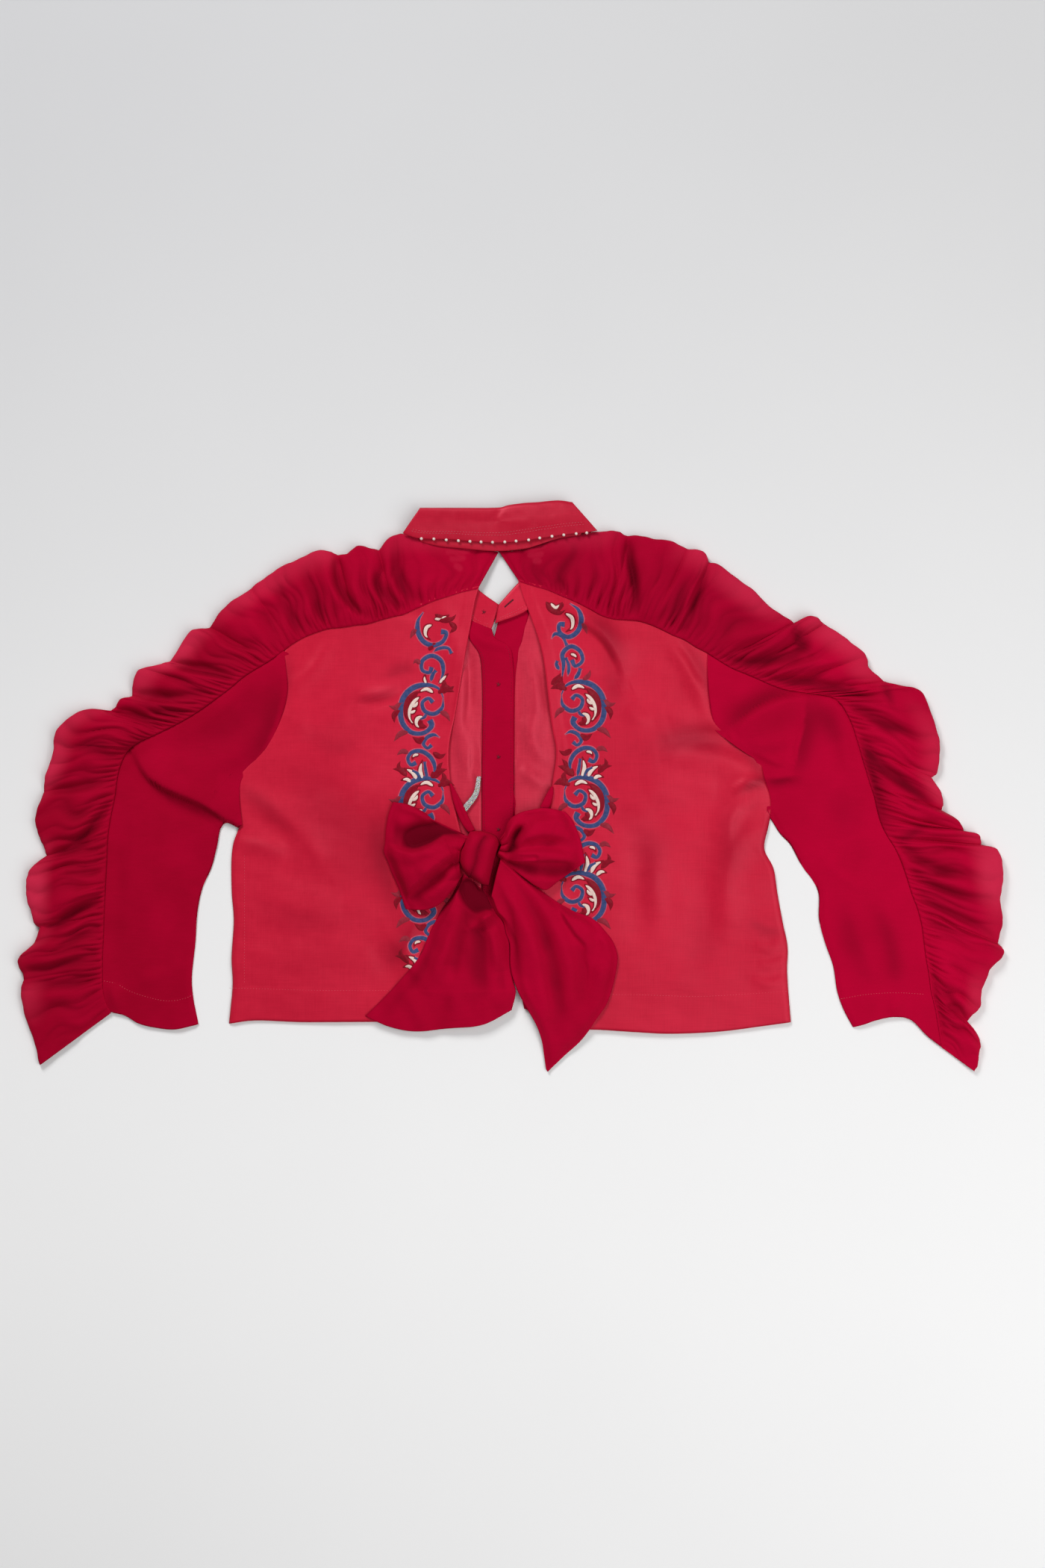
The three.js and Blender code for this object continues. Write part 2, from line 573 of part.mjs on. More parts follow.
// across: share of the fall's height, base: underside of the top leaf
const FALL_PROFILE = table(["across", "base"], [
  [0, STRIP_FLOOR + LAYER],
  [0.35, STRIP_FLOOR + 2 * LAYER + 1],
  [0.75, STRIP_FLOOR + LAYER + 1.6],
]);
const FOLD_HEIGHT = 6;
const fallStations = fallEdge.map((seam, i) => ({
  seam,
  edge: fallFold[i],
  outer: (width) => [
    ...FALL_PROFILE.map((row) => [row.across * width, row.base + WALL]),
    [0.93 * width, FOLD_HEIGHT + 3],
    [width, FOLD_HEIGHT],
    [0.93 * width, FOLD_HEIGHT - 2],
    [0.42 * width, STRIP_FLOOR + LAYER],
  ],
  inner: (width) => [
    ...FALL_PROFILE.map((row) => [row.across * width, row.base]),
    [0.92 * width, FOLD_HEIGHT + 3 - WALL],
    [width - WALL, FOLD_HEIGHT],
    [0.92 * width, FOLD_HEIGHT - 2 + WALL],
    [0.42 * width, STRIP_FLOOR + LAYER + WALL],
  ],
}));
overLeaves("collar_fall", hairpin(fallStations), satin);

// Tie straps, bow and tails lie over the back panels
const bowFloor = (x, y) => backFloor(x, y) + LAYER + BOW_LIFT;

// The loops fold back over themselves like a band held at the knot
const LOOP_LEFT = table(BAND_COLUMNS, [
  [-44, -48, -112, -15, 24],
  [-48, -54, -119, -40, 22],
  [-50.5, -62, -121, -63, 16],
  [-51, -70, -114, -81, 14],
  [-50.5, -76, -108, -96, 12],
  [-48, -82, -101, -117, 10],
]);
const LOOP_RIGHT = table(BAND_COLUMNS, [
  [-9.5, -50, 10, -24, 12],
  [-9, -53, 30, -20.5, 18],
  [-8.5, -56, 50, -24, 22],
  [-9, -59, 60, -40, 22],
  [-10, -62, 66, -58, 18],
  [-11.5, -65, 69, -73, 12],
]);
const LOOP_PROFILE = table(["across", "lift"], [
  [0, 0.55],
  [0.3, 0.8],
  [0.6, 1],
  [0.85, 0.85],
]);
const LOOP_STEPS = 12;
const LOOP_EDGE = 8;

function bowLoop(rows) {
  const seamLine = line(rows.map(seamOf));
  const edgeLine = line(rows.map((row) => [row.edgeX, row.edgeY]));
  const stations = [];
  for (let i = 0; i <= LOOP_STEPS; i += 1) {
    const seam = seamLine.getPoint(i / LOOP_STEPS);
    const edge = edgeLine.getPoint(i / LOOP_STEPS);
    const place = (i / LOOP_STEPS) * (rows.length - 1);
    const k = Math.min(Math.floor(place), rows.length - 2);
    const puff = mix(rows[k].puff, rows[k + 1].puff, place - k);
    const base = (share) => bowFloor(mix(seam.x, edge.x, share), mix(seam.y, edge.y, share));
    stations.push({
      seam: [seam.x, seam.y],
      edge: [edge.x, edge.y],
      outer: (width) => [
        ...LOOP_PROFILE.map((row) => [row.across * width, base(row.across) + row.lift * puff + WALL]),
        [width, base(1) + LOOP_EDGE],
        [0.9 * width, base(0.9)],
        [0.45 * width, base(0.45)],
        [0, base(0)],
      ],
      inner: (width) => [
        ...LOOP_PROFILE.map((row) => [row.across * width, base(row.across) + row.lift * puff]),
        [width - WALL, base(1) + LOOP_EDGE],
        [0.89 * width, base(0.9) + WALL],
        [0.45 * width, base(0.45) + WALL],
        [0, base(0) + WALL],
      ],
    });
  }
  return hairpin(stations);
}

overLeaves("bow_loop_left", bowLoop(LOOP_LEFT), georgette);
overLeaves("bow_loop_right", bowLoop(LOOP_RIGHT), georgette);

// Knot: a rounded lump of wrapped cloth
const KNOT_OUTLINE = [
  [-40, -43], [-25, -44.5], [-14, -48.5], [-11.5, -55], [-15, -62], [-17, -70], [-20, -84], [-27, -93], [-36, -88.5],
  [-44, -82], [-46, -74], [-45, -64], [-42, -54],
];
const KNOT_CENTRE = [-29, -66];
const KNOT_BASE = 5.9;
const KNOT_HEIGHT = 22.7;
const KNOT_RINGS = table(["share", "rise"], [
  [0.8, 0],
  [1, 0.3],
  [0.97, 0.62],
  [0.78, 0.88],
  [0.45, 1],
]);

function knotSolid() {
  const outline = new THREE.CatmullRomCurve3(KNOT_OUTLINE.map(([x, y]) => new THREE.Vector3(x, y, 0)), true);
  const around = outline.getSpacedPoints(20).slice(0, -1);
  const positions = [];
  KNOT_RINGS.forEach(({ share, rise }) => {
    around.forEach((point) => {
      positions.push(mix(KNOT_CENTRE[0], point.x, share), mix(KNOT_CENTRE[1], point.y, share));
      positions.push(KNOT_BASE + rise * KNOT_HEIGHT);
    });
  });
  positions.push(...KNOT_CENTRE, KNOT_BASE, ...KNOT_CENTRE, KNOT_BASE + KNOT_HEIGHT);
  const count = around.length;
  const last = KNOT_RINGS.length - 1;
  const base = KNOT_RINGS.length * count;
  const index = [];
  for (let i = 0; i < count; i += 1) {
    const next = (i + 1) % count;
    for (let ring = 0; ring < last; ring += 1) {
      const [a, b] = [ring * count + i, ring * count + next];
      index.push(a, b, b + count, a, b + count, a + count);
    }
    index.push(base, next, i, base + 1, last * count + i, last * count + next);
  }
  return facingOut(positions, index);
}

overLeaves("bow_knot", knotSolid(), georgette);

// Tails: wide ends of the ties, which hang a little past the hem
const TAIL_STEPS = 12;
const TAIL_ACROSS = 8;
const TAIL_LEFT = {
  top: [[-46, -88], [-34, -96], [-24, -112]],
  bottom: [[-141, -221], [-118, -231], [-95, -235.5], [-60, -232.5], [-28, -229], [0, -215]],
  left: [[-46, -88], [-60, -108], [-73, -132], [-87, -160], [-108, -187], [-141, -221]],
  right: [[-24, -112], [-12, -126], [-6.5, -140], [-3.5, -152], [-2.5, -170], [0, -185], [4, -195], [0, -215]],
};
const TAIL_RIGHT = {
  top: [[-20, -112], [-17, -90], [-10, -68]],
  bottom: [[33, -272], [34.5, -274.6], [37, -272.5]],
  left: [[-20, -112], [-8, -128], [-4, -142], [-1.2, -152], [0, -170], [3, -188], [14, -212], [24, -230], [33, -272]],
  right: [[-10, -68], [12, -83], [35, -100], [62, -119], [90, -137], [102, -165], [94, -203], [74, -234],
    [50, -260], [37, -272.5]],
};
const tailFolds = foldsOf([
  [-44, -100, -96, -214, 6, 22, 26],
  [-30, -116, -30, -210, 3, 14, 18],
  [-10, -130, 0, -180, 3, 10, 10],
  [2, -90, 60, -160, 5, 20, 26],
  [70, -158, 66, -232, 6, 14, 20],
  [94, -150, 98, -190, 3, 8, 8],
  [8, -150, 30, -240, 4, 12, 14],
]);
const HEM_DROP_START = -222;
const HEM_DROP_END = -262;

function tailFloor(x, y) {
  const onShirt = bowFloor(x, Math.max(y, -224)) + tailFolds(x, y);
  return mix(onShirt, 0, smooth(HEM_DROP_START, HEM_DROP_END, y));
}

function tail({ top, bottom, left, right }, floor) {
  const plan = patch(sample(top, TAIL_ACROSS), sample(bottom, TAIL_ACROSS), sample(left, TAIL_STEPS),
    sample(right, TAIL_STEPS));
  return sheet(plan, floor);
}

overLeaves("bow_tail_left", tail(TAIL_LEFT, tailFloor), georgette);
overLeaves("bow_tail_right", tail(TAIL_RIGHT, tailFloor), georgette);

// Straps from the opening edges to the knot
const STRAP_STEPS = 5;
const STRAP_LEFT_OUTER = [[-60, 2], [-55, -16], [-47, -36], [-41, -42]];
const STRAP_LEFT_INNER = [[-52, 2], [-46, -16], [-39, -32], [-35, -41]];
const STRAP_RIGHT_OUTER = [[41, 2], [40, -8], [36, -19]];
const STRAP_RIGHT_INNER = [[33, 2], [31, -8], [27, -18.5]];
overLeaves("tie_strap_left", strip(STRAP_LEFT_OUTER, STRAP_LEFT_INNER, STRAP_STEPS, bowFloor), georgette);
overLeaves("tie_strap_right", strip(STRAP_RIGHT_OUTER, STRAP_RIGHT_INNER, STRAP_STEPS, bowFloor), georgette);

// Folded glitter strip on the inside of the left front
const TAB_OUTER = [[-33.5, 9.7], [-37, -6], [-48, -20]];
const TAB_INNER = [[-29.4, 9.7], [-32, -8], [-44, -25]];
overLeaves("silver_tab", strip(TAB_OUTER, TAB_INNER, 4, (x, y) => frontFloor(x, y) + LAYER, 0.8), lurex);

export default shirt;
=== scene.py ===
import math

import bpy
import numpy as np
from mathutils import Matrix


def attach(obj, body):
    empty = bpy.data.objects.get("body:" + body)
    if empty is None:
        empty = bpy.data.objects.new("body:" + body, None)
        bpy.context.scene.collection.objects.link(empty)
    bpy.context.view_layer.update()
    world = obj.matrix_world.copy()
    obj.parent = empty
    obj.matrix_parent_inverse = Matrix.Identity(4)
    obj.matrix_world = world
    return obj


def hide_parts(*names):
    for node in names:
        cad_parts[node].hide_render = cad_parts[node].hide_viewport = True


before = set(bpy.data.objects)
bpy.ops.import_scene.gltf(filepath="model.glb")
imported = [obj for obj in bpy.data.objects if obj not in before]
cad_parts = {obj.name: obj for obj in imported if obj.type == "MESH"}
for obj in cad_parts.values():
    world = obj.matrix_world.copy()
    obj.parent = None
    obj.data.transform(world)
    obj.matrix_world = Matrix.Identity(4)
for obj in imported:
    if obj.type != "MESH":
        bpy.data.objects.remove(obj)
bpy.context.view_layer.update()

# Studio: the shirt lies on smooth white board under wide soft lamps. The camera looks straight
# down on it, with the collar at the top of the picture. Lengths in this file are millimetres.
MM = 0.001
CAMERA_PLACE = (10.4, 2.5, 2400)
CAMERA_LENS = 57.14
BOARD_SIZE = 9000
# Painted light: the board's colour runs from lit near the bottom of the picture to shaded at the top and
# towards the left.
BOARD_LIT = (0.98, 0.975, 0.97, 1)  # towards the bottom of the picture
BOARD_SHADED = (0.46, 0.46, 0.47, 1)
BOARD_LEVEL = -0.15
FADE = (-0.55, 0.85)  # how far up the board, in metres, its light starts and ends its fall
FADE_DEPTH = 0.76
FADE_SLANT = 0.35  # how much less it falls for each metre to the right
FADE_GRAIN = 0.06
WORLD_COLOUR = (0.97, 0.98, 1.0, 1)
WORLD_STRENGTH = 0.2


def colour(*levels):
    """A colour as an eye names it, from 0 to 255, made linear for the shader."""
    shares = [level / 255 for level in levels]
    return (*[((share + 0.055) / 1.055) ** 2.4 if share > 0.04 else share / 12.92 for share in shares], 1)


class Shade:
    """An output of a node, on which sums are written as plain arithmetic."""

    def __init__(self, finish, socket):
        self.finish = finish
        self.socket = socket

    def __add__(self, other):
        return self.finish.sum("ADD", self, other)

    def __rsub__(self, other):
        return self.finish.sum("SUBTRACT", other, self)

    def __mul__(self, other):
        return self.finish.sum("MULTIPLY", self, other)

    __radd__ = __add__
    __rmul__ = __mul__


class Finish:
    """A material under work. The keywords are constant values of its surface."""

    def __init__(self, name, **constants):
        self.material = bpy.data.materials.new(name)
        self.material.use_nodes = True
        self.tree = self.material.node_tree
        self.surface = self.tree.nodes["Principled BSDF"]
        for socket, value in constants.items():
            self.surface.inputs[socket.replace("_", " ")].default_value = value

    def feed(self, socket, value):
        if isinstance(value, Shade):
            self.tree.links.new(value.socket, socket)
        else:
            socket.default_value = value

    def node(self, kind, settings, inputs, output=0):
        made = self.tree.nodes.new(kind)
        for name, value in settings.items():
            setattr(made, name, value)
        for name, value in inputs.items():
            self.feed(made.inputs[name], value)
        return Shade(self, made.outputs[output])

    def sum(self, operation, first, second):
        return self.node("ShaderNodeMath", {"operation": operation}, {0: first, 1: second})

    def blend(self, share, first, second):
        return self.node("ShaderNodeMix", {"data_type": "RGBA"}, {0: share, 6: first, 7: second}, 2)

    def places(self, across=1.0, down=1.0, through=1.0):
        """The place on the cloth in metres, stretched."""
        here = self.node("ShaderNodeTexCoord", {}, {}, "Object")
        stretch = {0: here, 1: (across, down, through)}
        return self.node("ShaderNodeVectorMath", {"operation": "MULTIPLY"}, stretch)

    def axis(self, number):
        """The place along x (0) or y (1), in metres."""
        return self.node("ShaderNodeSeparateXYZ", {}, {0: self.places()}, number)

    def mark(self, name):
        """A value that a piece carries at each of its points."""
        return self.node("ShaderNodeAttribute", {"attribute_name": name}, {}, "Fac")

    def mottle(self, size, places, detail=2.0):
        """Soft uneven grey from 0 to 1, about size millimetres across."""
        inputs = {"Vector": places, "Scale": 1 / (size * MM), "Detail": detail}
        return self.node("ShaderNodeTexNoise", {}, inputs)

    def between(self, low, high, value):
        """0 below low, 1 above high."""
        limits = {"Value": value, "From Min": low, "From Max": high}
        return self.node("ShaderNodeMapRange", {"interpolation_type": "SMOOTHSTEP"}, limits)

    def relief(self, height, depth):
        """Fine relief of the surface, depth in millimetres."""
        bump = {"Height": height, "Strength": 1.0, "Distance": depth * MM}
        self.feed(self.surface.inputs["Normal"], self.node("ShaderNodeBump", {}, bump))

    def paint(self, shown, roughness=None):
        self.feed(self.surface.inputs["Base Color"], shown)
        if roughness is not None:
            self.feed(self.surface.inputs["Roughness"], roughness)
        return self.material


def join(thing):
    bpy.context.scene.collection.objects.link(thing)
    return thing


camera = join(bpy.data.objects.new("camera", bpy.data.cameras.new("camera")))
camera.location = [value * MM for value in CAMERA_PLACE]
camera.data.lens = CAMERA_LENS
camera.data.sensor_width = 36
bpy.context.scene.camera = camera

LAMPS = {  # name: (x, y, z, width, power)
    "window": (-850, 1600, 1500, 800, 34),
    "ceiling": (1100, 0, 2500, 1400, 18),
    "bounce": (1500, -1200, 1700, 1700, 23),
}
for name, (x, y, z, width, power) in LAMPS.items():
    lamp = join(bpy.data.objects.new(name, bpy.data.lights.new(name, "AREA")))
    lamp.data.size = width * MM
    lamp.data.energy = power
    lamp.location = (x * MM, y * MM, z * MM)
    lamp.rotation_euler = (-lamp.location).to_track_quat("-Z", "Y").to_euler()

world = bpy.data.worlds.new("studio")
world.use_nodes = True
sky = world.node_tree.nodes["Background"]
sky.inputs["Color"].default_value = WORLD_COLOUR
sky.inputs["Strength"].default_value = WORLD_STRENGTH
bpy.context.scene.world = world
bpy.context.scene.view_settings.view_transform = "Standard"

board_mesh = bpy.data.meshes.new("board")
half = BOARD_SIZE / 2 * MM
corners = [(-half, -half, 0), (half, -half, 0), (half, half, 0), (-half, half, 0)]
board_mesh.from_pydata(corners, [], [(0, 1, 2, 3)])
board = join(bpy.data.objects.new("board", board_mesh))
board.location.z = BOARD_LEVEL * MM
board_finish = Finish("board", Roughness=0.7)
grey = board_finish.mottle(300, board_finish.places())
# Painted shade on the board, darker towards the top of the picture and the left, standing in for the fall
# of the lamps' light.
fall = board_finish.between(*FADE, board_finish.axis(1)) * (FADE_DEPTH - board_finish.axis(0) * FADE_SLANT)
far = fall + grey * FADE_GRAIN
painted_board_light = board_finish.blend(far, BOARD_LIT, BOARD_SHADED)
board_finish.relief(board_finish.mottle(0.6, board_finish.places()), 0.02)
board_mesh.materials.append(board_finish.paint(painted_board_light))

# Fronts: two coral satin panels under the back, cut to the centre-front placket and eased over it.
# Their top edges are caught in the seam of the gathered shoulder bands. They lie on the board.
SIDES = {"left": 1, "right": -1}  # the way from each side towards the middle of the shirt
BAND = {  # rows of seam x and y, edge x and y, and how high the cloth billows
    "left": np.array([
        (-33, 190, -13, 225.5, 2), (-47, 187, -32, 229, 2.5), (-60, 183, -54, 233, 3),
        (-76, 178, -80, 239, 3.5),
        (-92, 171, -104, 243.5, 5), (-104, 165.5, -116, 241.5, 8), (-113, 163.5, -128, 228, 4),
        (-126, 160, -145, 231.5, 9), (-140, 156, -158, 225.5, 8), (-150, 155, -167.5, 222.5, 4),
        (-163, 153, -177, 227.5, 9), (-177, 151.5, -198, 223, 8), (-190, 147.5, -219, 211.5, 7),
        (-200, 143.5, -232, 205, 5), (-212, 136.5, -251, 190.5, 5), (-221, 130, -270, 178, 8),
        (-233, 121.5, -291, 153, 4), (-247, 113, -308, 149, 9), (-259, 105, -328.5, 120.5, 4),
        (-272, 94, -345, 116.5, 8), (-284, 85, -362, 109, 9), (-298, 75, -365.5, 87, 4),
        (-312, 66, -377, 84, 7), (-327, 58, -386, 73, 3), (-343, 50, -411, 74, 10),
        (-358, 43, -438, 55, 11),
        (-370, 34, -442, 33, 10), (-377, 20, -449, 10, 9), (-380, 8, -450, -5, 4),
        (-382, -8, -458.5, -30, 9),
        (-386, -28, -454, -50, 8), (-389, -48, -447, -66, 3), (-390, -68, -465, -82, 9),
        (-391, -90, -467, -103, 10), (-392, -112, -460, -130, 7), (-392.5, -123, -454.5, -135.5, 3),
        (-393, -137, -460, -150, 7), (-393.5, -150, -473, -162, 8), (-394, -162, -475, -172, 9),
        (-394, -173, -470, -186, 4), (-394, -185, -473, -199, 7), (-393.5, -197, -467, -224, 6),
        (-391, -208, -461, -248, 5), (-386, -218, -454, -268, 4),
    ]),
    "right": np.array([
        (7.5, 197, -12, 226, 2), (20, 193, 5, 228, 2.5), (34, 189, 26, 233, 3), (48, 183, 50, 240, 3.5),
        (62, 177, 71, 244, 4), (75, 170.5, 88, 246.3, 6), (87, 164, 104, 245.5, 8), (98, 161, 112, 241, 4),
        (110, 160, 131, 240, 9), (122, 159, 152, 236.5, 9), (135, 155, 170, 229.5, 8),
        (147, 149.5, 187, 224, 9),
        (155, 145.5, 190, 216, 4), (166, 141, 204, 209.5, 7), (178, 133.5, 230, 190.5, 9),
        (189, 128, 252, 171, 8),
        (200, 121, 271, 157, 4), (212, 114, 287.5, 164, 9), (224, 109, 300, 157, 8),
        (236, 104, 320, 144, 9),
        (250, 98, 338, 130, 9), (265, 93, 345, 114, 5), (280, 90.5, 358, 101.5, 4), (295, 88.5, 376, 97, 8),
        (308, 86, 393, 93.5, 9), (316, 80, 401, 78, 9), (322, 71, 410, 52, 9), (328, 59, 412.5, 32, 8),
        (332, 47, 409, 12, 6), (335, 37, 405, 8.5, 3), (338, 26, 413, -5, 8), (342, 13, 415, -17, 6),
        (345, 3, 413.5, -22.5, 3), (349, -9, 430, -33, 10), (352, -22, 436, -43.5, 4),
        (356, -36, 449, -46, 10),
        (362, -48, 451, -56, 5), (369, -59, 468, -61, 11), (375, -72, 473, -83, 11),
        (380, -86, 471, -103, 9),
        (385, -102, 472, -128, 9), (391, -118, 468.5, -151, 5), (395, -134, 475, -158, 9),
        (397, -150, 464, -173, 8), (399, -165, 454, -192, 8), (402, -182, 450, -213, 7),
        (404, -197, 440, -227, 3),
        (408, -214, 450, -242, 6), (411, -232, 450.5, -257, 5), (414, -251, 446, -274.5, 4),
    ]),
}
ARMHOLE_ROW = 15  # the row of both bands where the body ends and the sleeve starts
LAP = 3  # how far a panel runs under the band
ARMHOLE = {
    "left": [(-219.5, 131), (-217, 112), (-215.5, 92), (-221, 68), (-236, 38), (-250, 22), (-263, 10),
             (-266, -6),
             (-263, -40)],
    "right": [(189, 130), (188.5, 110), (190, 85), (195, 62), (210, 48), (225, 40), (239, 26), (243, 8),
              (249, -10),
              (250, -27)],
}
SIDE_SEAM = {
    "left": [(-263, -40), (-269, -58), (-270, -100), (-268, -128), (-270, -165), (-269, -190),
             (-272.5, -228.5)],
    "right": [(250, -27), (247, -40), (243.5, -60), (252, -78), (256, -102), (261, -130), (266, -155),
              (265.5, -178),
              (269, -227)],
}
HEM = {
    "left": [(-33, -225), (-130, -226), (-200, -227), (-250, -225.5), (-272.5, -228.5)],
    "right": [(28, -235), (75, -234), (120, -236.5), (150, -238), (200, -236), (240, -231), (269, -227)],
}
FRONT_EDGE = {
    "left": [(-41, 143), (-31, 127), (-27.7, 107), (-27.7, 0), (-27.7, -226)],
    "right": [(15.3, 167), (7, 135), (2.8, 110), (1.8, 60), (1.8, 0), (10, -90), (43, -226)],
}
FRONT_COLUMNS = 50
PANEL_ROWS = 130
ARMHOLE_ROWS = 54  # of those, the ones above the underarm point
PLACKET_LINES = [
    [(-38, 190), (-30, 150), (-13, 125), (-13, -226)],
    [(26, 190), (2, 155), (-10, 120), (-11, 0), (-3, -90), (27, -226)],
]
LEAF_LINES = [[(-90, 250), (-82, 210), (-62, 150)], [(68, 250), (62, 210), (42, 150)]]
PLACKET_RISE = (2.0, 18, 50)  # height, full out to this distance from the lines, gone by this one
LEAF_RISE = (1.0, 30, 110)
FRONT_REST = 0.3  # height of the flat cloth
FRONT_DEPTH = 1.9  # times the heights in the table of folds
CLOTH_THICKNESS = 0.45
FRONT_FOLDS = {  # fold line, height, reach on its left, reach on its right
    "left": [
        ([(-45, 120), (-47, 92), (-50, 60), (-46, 20)], 3.0, 4, 7),
        ([(-40, 132), (-41, 105), (-40, 70)], -1.6, 4, 4),
        ([(-43, 62), (-41, 40), (-43, 12)], 2.4, 3, 5),
        ([(-36, 40), (-37, 15), (-36, 0)], -1.4, 3, 3),
        ([(-34, 60), (-33, 40), (-34, 20)], 1.5, 4, 4),
    ],
    "right": [
        ([(14, 130), (22, 100), (30, 62)], 2.6, 7, 5),
        ([(10, 70), (20, 40), (34, 22)], 1.8, 9, 6),
        ([(8, 20), (20, 8), (34, 2)], 2.0, 7, 6),
        ([(7, 110), (9, 60), (8, 10)], -0.8, 4, 5),
        ([(16, 100), (20, 70), (22, 44)], 1.6, 9, 6),
        ([(30, 112), (34, 80), (37, 50)], -1.4, 4, 5),
    ],
}


def mix(a, b, t):
    return a + (b - a) * t


def smooth(low, high, value):
    t = np.clip((value - low) / (high - low), 0, 1)
    return t * t * (3 - 2 * t)


def flow(points, count):
    """Evenly spaced points on the smooth line through the given ones."""
    points = np.asarray(points, float)
    through = np.vstack([2 * points[0] - points[1], points, 2 * points[-1] - points[-2]])
    fine = []
    for a, b, c, d in zip(through, through[1:], through[2:], through[3:]):
        first, middle, last = (max(np.linalg.norm(q - p), 1e-6) ** 0.5 for p, q in ((a, b), (b, c), (c, d)))
        leave = ((b - a) / first - (c - a) / (first + middle) + (c - b) / middle) * middle
        arrive = ((c - b) / middle - (d - b) / (middle + last) + (d - c) / last) * middle
        t = np.linspace(0, 1, 20, endpoint=False)[:, None]
        square = (3 * (c - b) - 2 * leave - arrive) * t**2
        cube = (2 * (b - c) + leave + arrive) * t**3
        fine.append(b + leave * t + square + cube)
    fine = np.vstack([*fine, points[-1:]])
    along = np.concatenate([[0], np.cumsum(np.linalg.norm(np.diff(fine, axis=0), axis=1))])
    wanted = np.linspace(0, along[-1], count)
    return np.stack([np.interp(wanted, along, column) for column in fine.T], axis=1)


def between(top, bottom, left, right):
    """A grid of points inside four edges. Top and bottom run across, left and right run down."""
    u = np.linspace(0, 1, len(top))[None, :, None]
    v = np.linspace(0, 1, len(left))[:, None, None]
    corners = mix(mix(top[0], top[-1], u), mix(bottom[0], bottom[-1], u), v)
    return mix(top[None], bottom[None], v) + mix(left[:, None], right[:, None], u) - corners


def off_line(plan, line):
    """Distance from a line, share of the way along it, and which side (positive is its left)."""
    points = plan.reshape(-1, 1, 2)
    start, run = line[:-1], np.diff(line, axis=0)
    t = np.clip(np.sum((points - start) * run, axis=-1) / np.sum(run * run, axis=-1), 0, 1)
    off = points - (start + t[..., None] * run)
    distance = np.hypot(off[..., 0], off[..., 1])
    nearest = np.argmin(distance, axis=1)
    pick = np.arange(len(points)), nearest
    side = run[nearest, 0] * off[pick][:, 1] - run[nearest, 1] * off[pick][:, 0]
    shape = plan.shape[:-1]
    along = (nearest + t[pick]) / len(run)
    return distance[pick].reshape(shape), along.reshape(shape), side.reshape(shape)


def near_lines(plan, lines, shelf, ramp):
    """1 near any of the lines, out to shelf, and 0 beyond ramp."""
    distance = np.min([off_line(plan, flow(line, 24))[0] for line in lines], axis=0)
    return 1 - smooth(shelf, ramp, distance)


def folds(plan, rows):
    """Height of listed soft folds: line, height, reach on its left and reach on its right."""
    height = np.zeros(plan.shape[:-1])
    for points, rise, left, right in rows:
        line = flow(points, 10)
        margin = 2.6 * max(left, right)
        near = np.all((plan > line.min(0) - margin) & (plan < line.max(0) + margin), axis=-1)
        if near.any():
            distance, along, side = off_line(plan[near], line)
            reach = np.where(side > 0, left, right)
            taper = np.sin(np.pi * np.clip(along, 0.03, 0.97)) ** 0.6
            height[near] += rise * np.exp(-((distance / reach) ** 2)) * taper
    return height


def wander(x, y, size, seed):
    """Smooth uneven variation from about -1 to 1, with bumps about size across."""
    total = 0
    for k in range(5):
        turn = seed * 1.7 + k * 2.4
        pitch = size * (0.8 + 0.27 * k)
        run = x * math.cos(turn) + y * math.sin(turn)
        total = total + np.sin(run * 2 * math.pi / pitch + seed * 3.1 + k)
    return total / 3


def crumple(plan, size, depth, seed):
    return depth * wander(plan[..., 0], plan[..., 1], size, seed)


def raised(plan, height):
    return np.concatenate([plan, height[..., None]], axis=-1)


def shaped(name, points, faces, finish, marks=None):
    """An object through points in millimetres. Marks are named values at each point for its finish."""
    mesh = bpy.data.meshes.new(name)
    mesh.from_pydata((np.reshape(points, (-1, 3)) * MM).tolist(), [], faces)
    mesh.shade_smooth()
    for mark, values in (marks or {}).items():
        mesh.attributes.new(mark, "FLOAT", "POINT").data.foreach_set("value", np.ravel(values))
    mesh.materials.append(finish)
    return join(bpy.data.objects.new(name, mesh))


def sew(piece, slot, *nodes):
    """Fixes a piece to the shirt, in place of its solids."""
    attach(piece, "root")
    if nodes:
        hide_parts(*nodes)
    return piece


def cloth(name, slot, grid, finish, thick=CLOTH_THICKNESS, marks=None):
    """A sheet of cloth through a grid of points, sewn on in place of its solid."""
    rows, columns = grid.shape[:2]
    at = np.arange(rows * columns).reshape(rows, columns)
    faces = np.stack([at[:-1, :-1], at[1:, :-1], at[1:, 1:], at[:-1, 1:]], axis=-1)
    piece = shaped(f"{name}_cloth", grid, faces.reshape(-1, 4).tolist(), finish, marks)
    solidify = piece.modifiers.new("thickness", "SOLIDIFY")
    solidify.thickness = thick * MM
    solidify.offset = 0
    return sew(piece, slot, name)


# The colour of the painted shade where satin folds turn from the window.
SATIN_SHADE = colour(118, 4, 28)


def satin(name, deep, light):
    """Coral satin: close threads both ways, with a soft red lustre that runs with the folds. The point mark
    read below is painted shade, where a fold turns the cloth from the window."""
    finish = Finish(name, Sheen_Weight=0.05, Sheen_Roughness=0.4, Sheen_Tint=colour(240, 130, 140),
                    Specular_IOR_Level=0.75, Specular_Tint=colour(255, 120, 140), Anisotropic=0.5)
    clouds = finish.mottle(120, finish.places(), 3.0)
    small = finish.mottle(9, finish.places(), 3.0)
    warp = finish.mottle(1.1, finish.places(0.05, 1, 1), 1.0)
    weft = finish.mottle(1.1, finish.places(1, 0.04, 1), 1.0)
    tone = finish.between(0.2, 0.8, clouds * 0.5 + small * 0.14 + warp * 0.2 + weft * 0.16)
    body = finish.blend(tone, colour(*deep), colour(*light))
    body = finish.blend(finish.mark("painted_shade") * 0.85, body, SATIN_SHADE)
    finish.relief(warp + weft, 0.05)
    return finish.paint(body, 0.34 + small * 0.14)


SATIN = satin("coral_satin", (182, 18, 46), (208, 28, 58))
